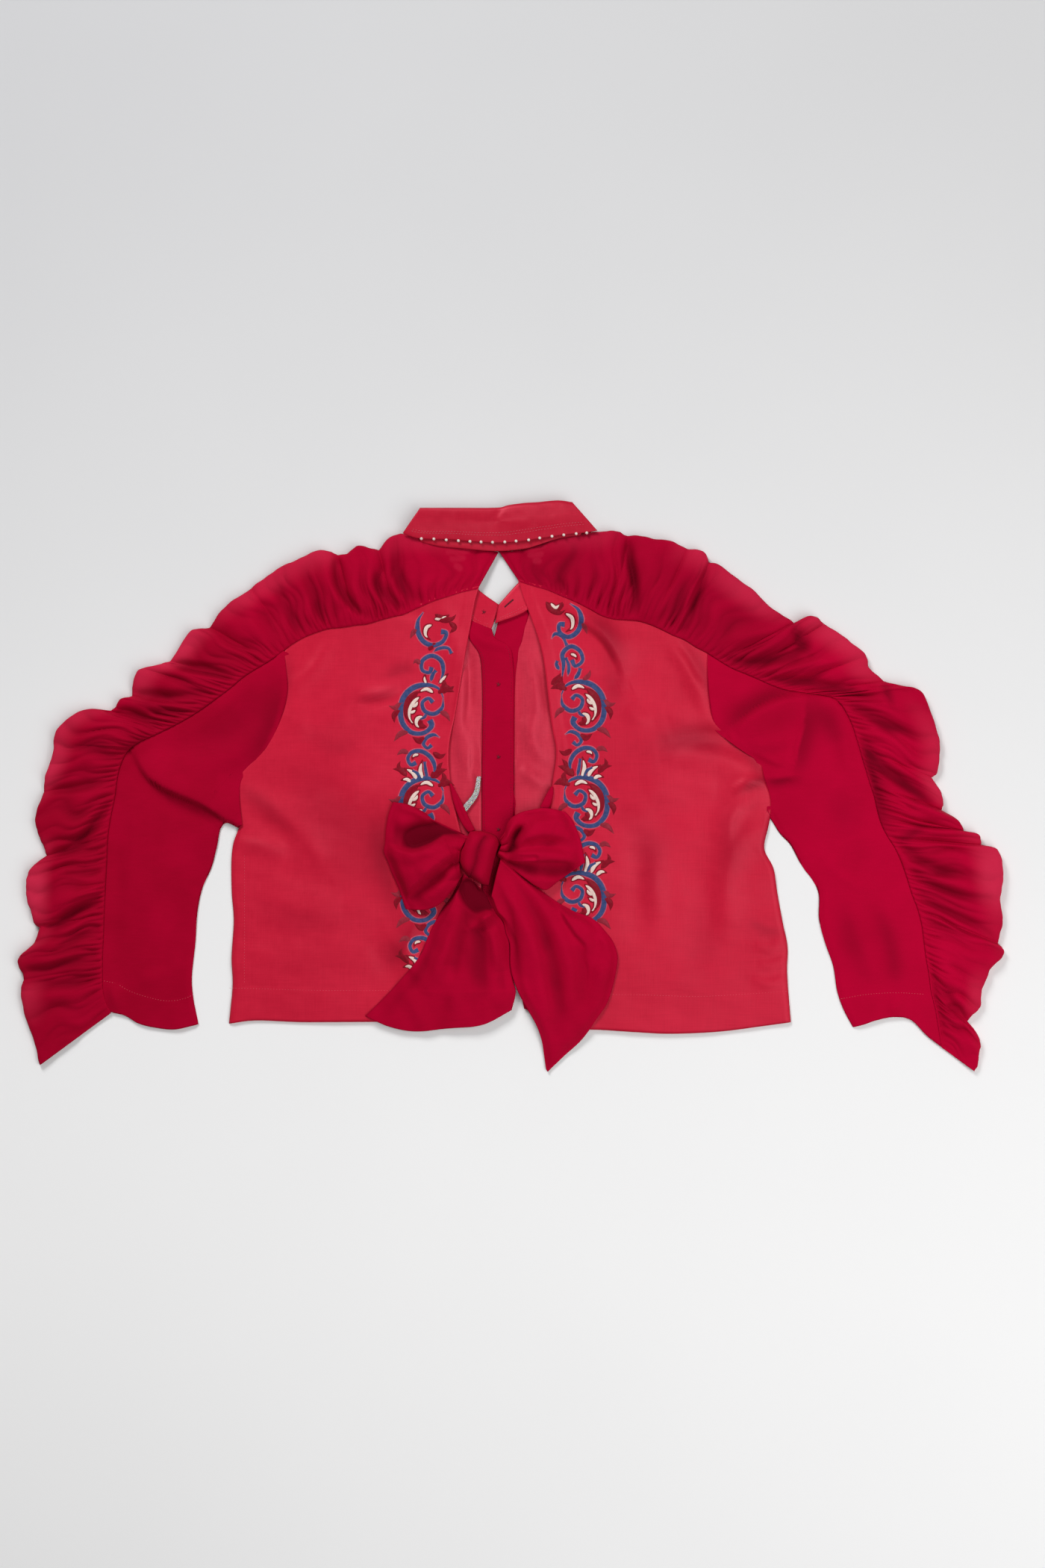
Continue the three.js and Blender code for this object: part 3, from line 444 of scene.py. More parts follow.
# The inner face of the cloth, seen in the opening. It is painted lighter and paler than the outer face, a
# painted highlight.
SATIN_INSIDE_LIT = satin("coral_satin_inside_lit", (180, 32, 56), (214, 50, 74))


def seam_line(side, rows, lap):
    """The seam of the gathered band, moved lap millimetres out under it."""
    table = BAND[side][rows]
    seam, edge = table[:, :2], table[:, 2:4]
    out = edge - seam
    return seam + out / np.linalg.norm(out, axis=1)[:, None] * lap


def outer_edge(side):
    arm = flow(ARMHOLE[side], ARMHOLE_ROWS)
    return np.vstack([arm, flow(SIDE_SEAM[side], PANEL_ROWS - ARMHOLE_ROWS + 1)[1:]])


def placket_rise(plan, margin=0.0):
    """How far the cloth is lifted by the plackets under it."""
    height, shelf, ramp = PLACKET_RISE
    return height * near_lines(plan, PLACKET_LINES, shelf + margin, ramp + margin)


def leaf_rise(plan):
    """How far the cloth is lifted by the collar leaves under it."""
    height, shelf, ramp = LEAF_RISE
    return height * near_lines(plan, LEAF_LINES, shelf, ramp)


def front_top(side, plan):
    """Height of the front's cloth over the board."""
    height = placket_rise(plan) + leaf_rise(plan) + FRONT_DEPTH * folds(plan, FRONT_FOLDS[side])
    return FRONT_REST + np.maximum(height, 0)


def kept_above(height, below, gap):
    """The height of a cloth that eases over another one and never sinks into it."""
    return below + gap + np.logaddexp(0, 3 * (height - below - gap)) / 3


for side, turn in SIDES.items():
    edge = FRONT_EDGE[side]
    outer = outer_edge(side)
    neck = [edge[0], (edge[0][0] - 11 * turn, edge[0][1] + 14)]
    top = flow([*neck, *seam_line(side, slice(3, ARMHOLE_ROW), LAP), outer[0]], FRONT_COLUMNS)
    hem = flow([edge[-1], *HEM[side][2:-1], outer[-1]], FRONT_COLUMNS)
    plan = between(top, hem, flow(edge, PANEL_ROWS), outer)
    front = cloth(f"front_{side}", "satin", raised(plan, front_top(side, plan)), SATIN_INSIDE_LIT)

# Plackets: two double strips of dark crimson georgette down the centre front, the buttonhole side below
# and the button side above. They part towards the hem. Each is sewn along both edges.
PLACKETS = {
    "left": {
        "outer": [(-42, 161), (-41, 143), (-31, 127), (-28.5, 107), (-28.5, 0), (-28.5, -223)],
        "inner": [(-19, 151.5), (-16, 143), (-2, 134.5), (1.4, 118), (1.8, 60), (1.6, -210)],
        "floor": 4.0,
        "flat": (0.031, 0.385),
    },
    "right": {
        "outer": [(-13, 160), (-17, 144), (-23, 128), (-24, 60), (-24, 0), (-16, -90), (12, -214)],
        "inner": [(18.5, 173), (12.5, 150), (7.5, 130), (4, 110), (2.6, 60), (3, 0), (11, -90), (42, -226)],
        "floor": 2.6,
        "flat": (0.029, 0.395),
    },
}
PLACKET_COLUMNS = 18
PLACKET_ROWS = 160
PLACKET_FOLDS = {
    "left": [
        ([(-36, 148), (-26, 140), (-14, 137)], 1.6, 3, 6),
        ([(-28, 132), (-10, 128), (0, 122)], -0.7, 4, 6),
        ([(-22, 100), (-20, 60), (-22, 10)], 0.7, 3, 6),
        ([(-4, 112), (-6, 80), (-3, 40)], 0.5, 6, 3),
    ],
    "right": [([(6, 150), (0, 138), (-8, 132)], 0.9, 4, 4)],
}
PLACKET_WIDTH = 30
PLACKET_CROWN = 0.25  # the top of the cloth over its middle
PLACKET_STITCHING = (2.2, 27.5)  # distances of the two rows from the outer edge
STITCH_POINTS = 5  # of these, the last is the gap
STITCH_LIFT = 0.12
STITCH_DIP = 0.3  # how far its ends go into the cloth
TUBE_SIDES = 6
WATERING = {"Scale": 520.0, "Distortion": 14.0, "Detail": 2.0, "Detail Scale": 0.35}


def georgette(name, dark, deep, light, sheer):
    """Crimson georgette: matt crepe. The mark 'sheer' is where it is lighter and faintly watered. The other
    mark is painted shade: darker in the valleys of folds and gathers, where folds turn from the window,
    and where several plies are pressed together."""
    finish = Finish(name, Sheen_Weight=0.05, Sheen_Roughness=0.5, Sheen_Tint=colour(220, 70, 100),
                    Specular_IOR_Level=0.3, Specular_Tint=colour(255, 90, 120))
    clouds = finish.mottle(55, finish.places(), 3.0)
    crepe = finish.mottle(0.8, finish.places(), 1.0)
    slub = finish.mottle(1.6, finish.places(0.12, 1, 1), 2.0)
    grain = finish.between(0.25, 0.75, clouds * 0.7 + crepe * 0.12 + slub * 0.18)
    # Painted light: the crepe is lighter towards the right of the shirt, where the light falls stronger.
    tone = grain * 0.5 + 0.25 + finish.axis(0) * 0.9
    watering = {"Vector": finish.places(), **WATERING}
    water = finish.node("ShaderNodeTexWave", {"wave_type": "BANDS"}, watering, "Fac")
    ply = finish.between(0.1, 1.0, finish.mark("sheer")) * (0.45 + water * 0.55)
    body = finish.blend(tone, colour(*deep), colour(*light))
    body = finish.blend(finish.mark("painted_shade") * 0.9, body, colour(*dark))
    finish.relief(crepe + slub, 0.05)
    return finish.paint(finish.blend(ply, body, colour(*sheer)), 0.72 + crepe * 0.1)


# The first colour is the painted shade in the valleys of the folds and gathers.
GEORGETTE = georgette("crimson_georgette", (92, 0, 18), (152, 0, 34), (184, 0, 48), (206, 44, 76))


def sewing_thread(name, dark, light, **constants):
    finish = Finish(name, **constants)
    strands = finish.mottle(0.7, finish.places())
    return finish.paint(finish.blend(strands, colour(*dark), colour(*light)))


THREAD = sewing_thread("thread", (196, 60, 82), (232, 118, 132), Roughness=0.6, Sheen_Weight=0.2)
DARK_THREAD = sewing_thread("dark_thread", (70, 0, 22), (118, 6, 34), Roughness=0.65)


def loops(name, lines, finish, width):
    """Rounded tubes along short lines of points, for stitches, thread and cord."""
    points, faces = [], []
    for line in lines:
        line = np.asarray(line, float)
        run = np.gradient(line, axis=0)
        run /= np.maximum(np.linalg.norm(run, axis=1), 1e-9)[:, None]
        across = np.cross(run, (0, 0, 1.0))
        across /= np.maximum(np.linalg.norm(across, axis=1), 1e-9)[:, None]
        up = np.cross(across, run)
        start = len(points)
        for k, point in enumerate(line):
            size = width / 2 * (0.55 if k in (0, len(line) - 1) else 1)
            for corner in range(TUBE_SIDES):
                turn = corner * math.tau / TUBE_SIDES
                points.append(point + (across[k] * math.cos(turn) + up[k] * math.sin(turn)) * size)
        for k in range(len(line) - 1):
            for corner in range(TUBE_SIDES):
                a = start + k * TUBE_SIDES + corner
                b = start + k * TUBE_SIDES + (corner + 1) % TUBE_SIDES
                faces.append((a, b, b + TUBE_SIDES, a + TUBE_SIDES))
        faces.append([start + corner for corner in reversed(range(TUBE_SIDES))])
        faces.append([start + (len(line) - 1) * TUBE_SIDES + corner for corner in range(TUBE_SIDES)])
    return shaped(name, points, faces, finish)


def stitches(line, height, length, gap):
    """Running stitches along a line in plan, each a short arch standing on height(plan)."""
    reach = np.linalg.norm(np.diff(flow(line, 60), axis=0), axis=1).sum()
    count = int(reach / (length + gap))
    path = flow(line, count * STITCH_POINTS + 1)
    lift = height(path) + STITCH_LIFT
    made = []
    for k in range(count):
        part = slice(STITCH_POINTS * k, STITCH_POINTS * (k + 1) - 1)
        stitch = raised(path[part], lift[part])
        stitch[[0, -1], 2] -= STITCH_DIP
        made.append(stitch)
    return made


def placket_top(side):
    floor = PLACKETS[side]["floor"]
    return lambda plan: floor + leaf_rise(plan) + folds(plan, PLACKET_FOLDS[side]) + PLACKET_CROWN


for side, cut in PLACKETS.items():
    outer = flow(cut["outer"], PLACKET_ROWS)
    inner = flow(cut["inner"], PLACKET_ROWS)
    share = np.linspace(0, 1, PLACKET_COLUMNS)[None, :, None]
    plan = mix(outer[:, None], inner[:, None], share)
    dome = 0.35 * np.sin(np.pi * share[..., 0]) ** 0.4 - 0.35
    height = placket_top(side)(plan) - PLACKET_CROWN + dome + crumple(plan, 26, 0.16, 3)
    placket = cloth(f"placket_{side}", "georgette", raised(plan, height), GEORGETTE)

placket_lines = []
outer, inner = (flow(PLACKETS["left"][edge], 90)[6:] for edge in ("outer", "inner"))
for distance in PLACKET_STITCHING:
    placket_lines += stitches(mix(outer, inner, distance / PLACKET_WIDTH), placket_top("left"), 1.6, 0.9)
sew(loops("placket_stitches", placket_lines, DARK_THREAD, 0.26), "georgette")

# Buttons: six small pearly discs with four holes, sewn on under the placket and the stand with dark
# crossed threads, whose ends show on the inside as small knots.
BUTTON_X = -13
STAND_BUTTON = (-27, 168)
BUTTON_PITCH = 69.8
BOTTOM_LIFT = 1.5  # how much higher the lowest button lies
TOP_END_HEIGHT = 3.75  # of the thread ends that show on the stand
THREAD_END_HEIGHT = 4.35  # and of those on the placket
THREAD_END_TURNS = (0.4, 1.5, 2.4)  # which way each of them points
BUTTON_PROFILE = [(1.0, 2.0), (4.3, 1.7), (4.6, 2.0), (5.2, 1.9), (5.5, 1.4), (5.5, 0.7), (5.2, 0.2),
                  (4.6, 0.0),
                  (4.1, 0.35), (0.0, 0.5)]
BUTTON_HOLES = [(1.3, 1.3), (-1.3, 1.3), (-1.3, -1.3), (1.3, -1.3)]

pearly = Finish("button_resin", Roughness=0.22, Coat_Weight=0.4)
swirl = pearly.mottle(6, pearly.places(), 4.0)
swirl = pearly.between(0.35, 0.65, swirl)
BUTTON = pearly.paint(pearly.blend(swirl, colour(222, 206, 190), colour(245, 238, 228)))


def turned(name, place, profile, finish, steps=32):
    """A round piece turned from a profile of radius and height, about place."""
    x, y, z = place
    points, faces = [], []
    for radius, height in profile:
        for k in range(steps):
            turn = 2 * math.pi * k / steps
            points.append((x + radius * math.cos(turn), y + radius * math.sin(turn), z + height))
    for ring in range(len(profile) - 1):
        for k in range(steps):
            a, b = ring * steps + k, ring * steps + (k + 1) % steps
            faces.append((a, a + steps, b + steps, b))
    faces.append(list(range(steps)))
    faces.append([(len(profile) - 1) * steps + k for k in range(steps - 1, -1, -1)])
    return shaped(name, points, faces, finish)


button_places = [(*STAND_BUTTON, 0.9)]
button_places += [(BUTTON_X, STAND_BUTTON[1] - count * BUTTON_PITCH, 0.0) for count in range(1, 6)]
for count, (x, y, z) in enumerate(button_places, 1):
    under = float(leaf_rise(np.array([[x, y]]))[0])
    lift = z + under + (BOTTOM_LIFT if count == 6 else 0)
    disc = turned(f"button_{count}_disc", (x, y, lift), BUTTON_PROFILE, BUTTON)
    sew(disc, "button", f"button_{count}")
    cross = [[(x + ax, y + ay, lift + 0.5), (x, y, lift + 0.35), (x - ax, y - ay, lift + 0.5)]
             for ax, ay in BUTTON_HOLES[:2]]
    sew(loops(f"button_thread_{count}", cross, DARK_THREAD, 0.6), "button")
    rest = under + (TOP_END_HEIGHT if count == 1 else THREAD_END_HEIGHT)
    knot = [[(x + 2.6 * math.cos(t), y + 2.6 * math.sin(t), rest), (x, y, rest + 0.5),
             (x - 2.2 * math.cos(t + 0.5), y - 2.2 * math.sin(t + 0.5), rest)] for t in THREAD_END_TURNS]
    sew(loops(f"button_knot_{count}", knot, DARK_THREAD, 0.5), "button")

# Stand ends: the two satin ends of the collar stand, doubled and topstitched, crossing at the neck.
# The left one carries a button, and the right one a slanted buttonhole.
STAND_ENDS = {
    "left": {
        "upper": [(-11.2, 174.2), (-32, 189.5), (-48, 208), (-62, 226)],
        "lower": [(-20, 150), (-38.5, 157.3), (-48, 186), (-64, 206), (-79, 223)],
        "floor": lambda plan: 3.0 + 0 * plan[..., 0],
        "flat": (0.021, 0.092),
    },
    "right": {
        "upper": [(-12.6, 174.6), (7.3, 197), (25, 212), (45, 228)],
        "lower": [(-16, 157), (15, 170), (33, 195), (55, 216)],
        "floor": lambda plan: mix(5.2, 1.6, smooth(176, 204, plan[..., 1])),
        "flat": (0.021, 0.085),
    },
}
STAND_STITCHING = (0.9, 0.8)  # shares of the way from the upper edge to the lower


def stand_top(side):
    floor = STAND_ENDS[side]["floor"]
    return lambda plan: floor(plan) + leaf_rise(plan) + 0.7


stand_stitches = []
for side, cut in STAND_ENDS.items():
    upper, lower = flow(cut["upper"], 60), flow(cut["lower"], 60)
    share = np.linspace(0, 1, 24)[:, None, None]
    plan = mix(upper[None], lower[None], share)
    across = np.clip(np.abs(share[..., 0] - 0.5) * 2, 0, 1)
    end = np.linalg.norm(plan - mix(upper[0], lower[0], share[..., 0])[:, None], axis=-1)
    rounding = 0.6 * smooth(0.85, 1.0, across) + 0.4 * (1 - smooth(0, 2.5, end))
    height = cut["floor"](plan) + leaf_rise(plan) + 0.3 - rounding + crumple(plan, 14, 0.15, 5)
    stand = cloth(f"stand_{side}", "satin", raised(plan, height), SATIN, 0.8)
    for share in STAND_STITCHING:
        stand_stitches += stitches(mix(upper, lower, share)[3:40], stand_top(side), 1.5, 0.8)
sew(loops("stand_stitches", stand_stitches, THREAD, 0.24), "satin")

BUTTONHOLE = [(-6.8, 172.6), (-2.6, 176.4), (1.5, 179.8)]
BUTTONHOLE_WIDTH = 1.8
hole = flow(BUTTONHOLE, 40)
run = hole[-1] - hole[0]
off = np.array([run[1], -run[0]])
off = off / np.linalg.norm(off) * BUTTONHOLE_WIDTH / 2
heights = stand_top("right")(hole)
bars = [[(*(point - off), z), (*point, z + 0.35), (*(point + off), z)] for point, z in zip(hole, heights)]
sew(loops("buttonhole", bars, DARK_THREAD, 0.3), "satin")

# Collar leaves: the front halves of the satin collar. They lie under the shirt, folded down on its
# outside, plainly finished.
LEAVES = {
    "left": ([(-88, 262), (-72, 232), (-56, 200), (-40, 166)],
             [(-101, 243), (-108, 212), (-98, 172), (-64, 124)]),
    "right": ([(60, 262), (48, 232), (34, 200), (20, 168)], [(79, 243), (88, 212), (78, 172), (44, 126)]),
}
LEAF_REST = 0.56
for side, (neck, outer) in LEAVES.items():
    share = np.linspace(0, 1, 30)[None, :, None]
    plan = mix(flow(neck, 70)[:, None], flow(outer, 70)[:, None], share)
    height = LEAF_REST + crumple(plan, 30, 0.1, 2)
    leaf = cloth(f"collar_leaf_{side}", "satin", raised(plan, height), SATIN, 0.8)

# Glitter strip: a narrow folded strip of silver lurex cloth, sewn inside the left front.
TAB_OUTER = [(-33.5, 9.7), (-37, -6), (-48, -20)]
TAB_INNER = [(-29.4, 9.7), (-32, -8), (-44, -25)]
TAB_REST = 3.6
lurex = Finish("silver_lurex", Metallic=0.75)
glint = lurex.node("ShaderNodeTexVoronoi", {}, {"Vector": lurex.places(), "Scale": 1300.0}, "Color")
spark = lurex.mottle(0.5, lurex.places(), 2.0)
silver = lurex.blend(lurex.between(0.35, 0.7, spark), colour(60, 58, 60), colour(236, 232, 228))
lurex.relief(spark, 0.4)
LUREX = lurex.paint(lurex.blend(0.25, silver, glint), 0.25 + spark * 0.4)
ply = np.linspace(-1, 1, 20)[None, :, None]
plan = mix(flow(TAB_OUTER, 50)[:, None], flow(TAB_INNER, 50)[:, None], 1 - np.abs(ply))
height = TAB_REST + placket_rise(plan) * 0.4 + 0.6 * smooth(-0.2, 0.2, ply[..., 0])
height = height + crumple(plan, 4, 0.15, 7)
tab = cloth("silver_tab", "lurex", raised(plan, height), LUREX, 0.3)

# Sleeves: plain crimson georgette, an upper panel that shows and a lower one on the board, joined at the
# underarm seam. The bent sleeve laps over itself inside each elbow, and the cuff has a turned hem.
INSIDE_SLEEVE = {
    "left": [(-263, -40), (-275, -35), (-283, -42), (-286.5, -60), (-291, -80), (-299, -100), (-303, -120),
             (-305, -150), (-308.5, -185), (-307, -204), (-302, -229)],
    "right": [(250, -27), (262, -48), (271, -58), (281, -78), (290, -90), (297, -105), (297, -130),
              (302, -150),
              (310, -173), (314, -198), (320, -215), (329, -232)],
}
CUFF = {
    "left": [(-387, -217), (-372, -221), (-360, -228), (-345, -232), (-325, -234), (-310, -231),
             (-302, -229)],
    "right": [(414, -251), (400, -240), (384, -224.5), (368, -222), (350, -225.5), (340, -229),
              (329, -232)],
}
CUFF_STITCH = {
    "left": [(-393, -187), (-380, -190), (-370, -196), (-350, -203), (-330, -206.5), (-315, -204),
             (-308, -201)],
    "right": [(317, -204.5), (330, -202), (343, -200), (370, -198.5), (398, -200)],
}
SLEEVE_COLUMNS = 64
SLEEVE_ROWS = 150
SLEEVE_FOLDS = {
    "left": [
        ([(-362, 30), (-348, 8), (-325, -5), (-303, -14), (-282, -26), (-266, -38)], 9.0, 24, 2.4),
        ([(-352, 6), (-330, -14), (-308, -24), (-288, -36)], -2.0, 3, 9),
        ([(-240, 112), (-262, 92), (-292, 66), (-322, 46)], 1.8, 7, 16),
        ([(-228, 96), (-262, 58), (-300, 36)], -1.6, 12, 10),
        ([(-232, 62), (-262, 34), (-300, 22), (-338, 26)], 2.2, 13, 13),
        ([(-368, -4), (-362, -60), (-372, -130)], 1.4, 14, 9),
        ([(-330, -40), (-344, -95), (-352, -160)], 1.3, 10, 16),
        ([(-310, -70), (-326, -120), (-346, -190)], -1.1, 9, 9),
        ([(-384, -30), (-380, -90), (-384, -165)], -0.8, 7, 7),
        ([(-318, -165), (-335, -180), (-362, -186)], 0.9, 8, 6),
        ([(-384, -190), (-382, -204), (-381, -216)], 2.6, 7, 7),
    ],
    "right": [
        ([(212, 50), (224, 63), (238, 73), (258, 82), (282, 86), (304, 83)], 8.0, 3.0, 22),
        ([(206, 60), (222, 76), (246, 90), (280, 96)], -1.8, 9, 3),
        ([(279, 80), (281, 60), (278, 44), (273, 26), (268, 12)], 2.6, 11, 4),
        ([(300, 78), (308, 60), (306, 34)], -1.8, 9, 9),
        ([(318, 62), (322, 34), (328, 8)], 2.0, 8, 8),
        ([(226, 38), (238, 32), (250, 26), (266, 20)], 2.2, 9, 4),
        ([(250, 4), (266, 10), (282, 6)], 1.8, 7, 6),
        ([(206, 96), (232, 100), (262, 88)], -1.0, 10, 10),
        ([(286, 20), (300, -40), (330, -110)], 1.1, 16, 20),
        ([(300, -72), (332, -96), (350, -100)], 0.9, 5, 5),
        ([(330, -20), (352, -80), (378, -150)], -1.2, 12, 12),
        ([(312, -120), (330, -160), (350, -190)], 1.2, 14, 14),
        ([(352, -110), (366, -160), (376, -190)], 1.4, 10, 12),
        ([(372, -196), (370, -210), (368, -221)], 2.4, 8, 8),
    ],
}
SLEEVE_REST = 2.6
SLEEVE_DEPTH = 1.3  # times the heights in the table of folds
SLEEVE_FLOOR = 0.36
# Strength of the painted shade where folds turn from the window, on sleeves and back panels.
TURNED_AWAY = 1.15  # how dark the folds below get
SLEEVE_SHADES = {  # where folds turn from the window: line, strength, reach on its left and on its right
    "left": [
        ([(-222, 100), (-228, 70), (-240, 40), (-254, 18)], 0.4, 3, 13),
        ([(-236, 92), (-266, 62), (-304, 40)], 0.22, 18, 14),
    ],
    "right": [
        ([(206, 54), (226, 71), (250, 85), (276, 92)], 0.55, 13, 1.6),
        ([(284, 84), (282, 58), (277, 34), (272, 14)], 0.5, 13, 1.2),
        ([(296, 78), (306, 62), (314, 40)], 0.42, 10, 11),
        ([(243, 6), (256, 6.5), (272, 9)], 0.6, 1.4, 6),
        ([(224, 40), (238, 36), (254, 36), (268, 40)], 0.2, 6, 5),
        ([(306, 0), (318, -20), (330, -50)], 0.18, 16, 14),
        ([(352, -118), (364, -150), (372, -192)], 0.34, 9, 8),
        ([(318, -108), (328, -146), (344, -186)], 0.26, 8, 12),
    ],
}


def hem_step(plan, line, depth=0.35):
    """The doubled cloth of a turned hem, outside its stitch line."""
    distance, _, side = off_line(plan, flow(line, 40))
    return depth * smooth(-1.2, 1.2, -np.sign(side) * distance)


def sleeve_top(side):
    def height(plan):
        base = SLEEVE_REST + SLEEVE_DEPTH * folds(plan, SLEEVE_FOLDS[side])
        base = base + crumple(plan, 46, 0.5, 4) + crumple(plan, 17, 0.16, 9)
        return base + hem_step(plan, CUFF_STITCH[side])

    return height


SLEEVE_TOP = {side: sleeve_top(side) for side in SIDES}
sleeve_stitches = []
for side, turn in SIDES.items():
    cuff = flow(CUFF[side], SLEEVE_COLUMNS)
    inner = flow(INSIDE_SLEEVE[side], SLEEVE_ROWS)
    seam = flow([*seam_line(side, slice(ARMHOLE_ROW, -1), LAP), cuff[0]], SLEEVE_ROWS)
    arm = flow(ARMHOLE[side], SLEEVE_COLUMNS)
    outward = np.gradient(arm, axis=0)[:, ::-1] * (1, -1)
    outward /= np.linalg.norm(outward, axis=1)[:, None]
    under = arm - outward * 4 * turn
    under[0], under[-1] = seam[0], inner[0]
    plan = between(under, cuff, seam, inner)
    drop = 1.6 * (1 - smooth(0, 5, off_line(plan, flow(INSIDE_SLEEVE[side], 40))[0]))
    height = kept_above(SLEEVE_TOP[side](plan) - drop, SLEEVE_FLOOR, 0.5)
    # Painted shade where the sleeve's folds turn from the window.
    shade = {"painted_shade": np.clip(TURNED_AWAY * folds(plan, SLEEVE_SHADES[side]), 0, 1)}
    back = cloth(f"sleeve_back_{side}", "georgette", raised(plan, height), GEORGETTE, marks=shade)
    lower = between(arm, cuff, seam, inner)[::3, ::3]
    height = SLEEVE_FLOOR + crumple(lower, 60, 0.08, 6)
    front = cloth(f"sleeve_front_{side}", "georgette", raised(lower, height), GEORGETTE)
    above = lambda plan, top=SLEEVE_TOP[side]: top(plan) + 0.1
    sleeve_stitches += stitches(CUFF_STITCH[side], above, 1.7, 0.9)
sew(loops("cuff_stitches", sleeve_stitches, THREAD, 0.24), "georgette")

# Back: two coral satin panels, sewn to the gathered bands above and hemmed 32 mm deep. Between them
# the back is open, and each opening edge is faced with satin and topped with the tie.
OPENING = {
    "left": [(-31, 193), (-35, 179), (-39.7, 154), (-47.2, 112), (-54.6, 69.5), (-60.5, 37), (-58.7, 2.5),
             (-50, -40), (-38, -80), (-33, -140), (-33, -225)],
    "right": [(5.8, 199.5), (11, 182), (15.8, 169.6), (29, 130), (38.2, 60.8), (42.8, 32.8), (39.1, 3.2),
              (36.9, -18), (22, -60), (12, -110), (16, -160), (24, -200), (28, -235)],
}
HEM_STITCH = {
    "left": [(-272, -194), (-250, -194.5), (-200, -196), (-133, -196.5), (-60, -196), (-34, -196)],
    "right": [(24, -198), (70, -200), (123.5, -200.5), (180, -202), (230, -199.5), (266, -197)],
}
SIDE_STITCH = [(-257.5, -66), (-257.5, -120), (-257.5, -190)]
BACK_COLUMNS = 112
BACK_FOLDS = {
    "left": [
        ([(-152, 85), (-130, 86), (-105, 92)], 1.3, 9, 4),
        ([(-150, 80), (-128, 81), (-106, 88)], -0.9, 4, 7),
        ([(-215, 96), (-196, 108), (-182, 128), (-176, 146)], 1.0, 7, 10),
        ([(-214, 66), (-190, 60), (-150, 66)], 0.8, 12, 12),
        ([(-262, -4), (-235, -16), (-205, -40), (-180, -80)], 1.5, 14, 9),
        ([(-256, -28), (-230, -40), (-212, -70)], -1.0, 9, 9),
        ([(-266, -52), (-240, -58), (-214, -64)], 1.2, 7, 8),
        ([(-200, 40), (-208, 70), (-212, 100)], 1.0, 14, 10),
        ([(-190, -20), (-140, -10), (-100, 14)], 0.9, 20, 20),
        ([(-240, -90), (-205, -110), (-160, -112)], 0.8, 18, 18),
        ([(-120, -140), (-104, -160), (-86, -188)], 1.4, 9, 6),
        ([(-136, -150), (-122, -172), (-110, -190)], -0.9, 9, 8),
        ([(-88, -120), (-100, -150), (-96, -176)], 1.2, 8, 8),
        ([(-66, 176), (-56, 150), (-53, 120)], 0.7, 6, 8),
        ([(-110, 168), (-96, 166), (-84, 172)], -0.6, 5, 6),
        ([(-262, -150), (-236, -160), (-200, -158)], 0.6, 12, 12),
    ],
    "right": [
        ([(50, 176), (68, 160), (86, 148), (100, 130), (112, 104)], 3.2, 15, 6),
        ([(58, 160), (76, 146), (90, 128), (100, 104)], -2.4, 5, 12),
        ([(94, 158), (104, 130), (120, 100), (150, 84)], -1.2, 18, 12),
        ([(150, 138), (166, 120), (180, 92), (190, 66)], 1.4, 10, 8),
        ([(158, 142), (170, 126), (184, 100)], -0.9, 5, 5),
        ([(110, 78), (124, 66), (136, 68)], 0.9, 9, 9),
        ([(150, 40), (180, 47), (212, 44), (236, 30)], -1.9, 9, 12),
        ([(150, 60), (184, 66), (216, 60)], 1.1, 13, 10),
        ([(140, 26), (178, 30), (214, 22), (240, 4)], 1.7, 10, 14),
        ([(246, 4), (230, 4), (210, -6)], 2.2, 5, 6),
        ([(250, -12), (232, -12), (214, -24), (206, -60)], 1.4, 7, 12),
        ([(246, -42), (224, -50), (208, -80), (206, -140)], 1.5, 14, 10),
        ([(140, -60), (138, -90), (142, -130)], 1.2, 10, 10),
        ([(120, -50), (122, -90), (120, -150)], -0.7, 12, 12),
        ([(180, -70), (184, -120), (180, -180)], -0.9, 16, 16),
        ([(264, -148), (250, -156), (232, -152)], 0.9, 5, 6),
        ([(265, -166), (250, -172), (236, -170)], 0.7, 5, 5),
        ([(265, -186), (248, -190), (230, -184)], 0.9, 5, 5),
        ([(128, -10), (160, 4), (200, 2)], 0.8, 16, 16),
    ],
}
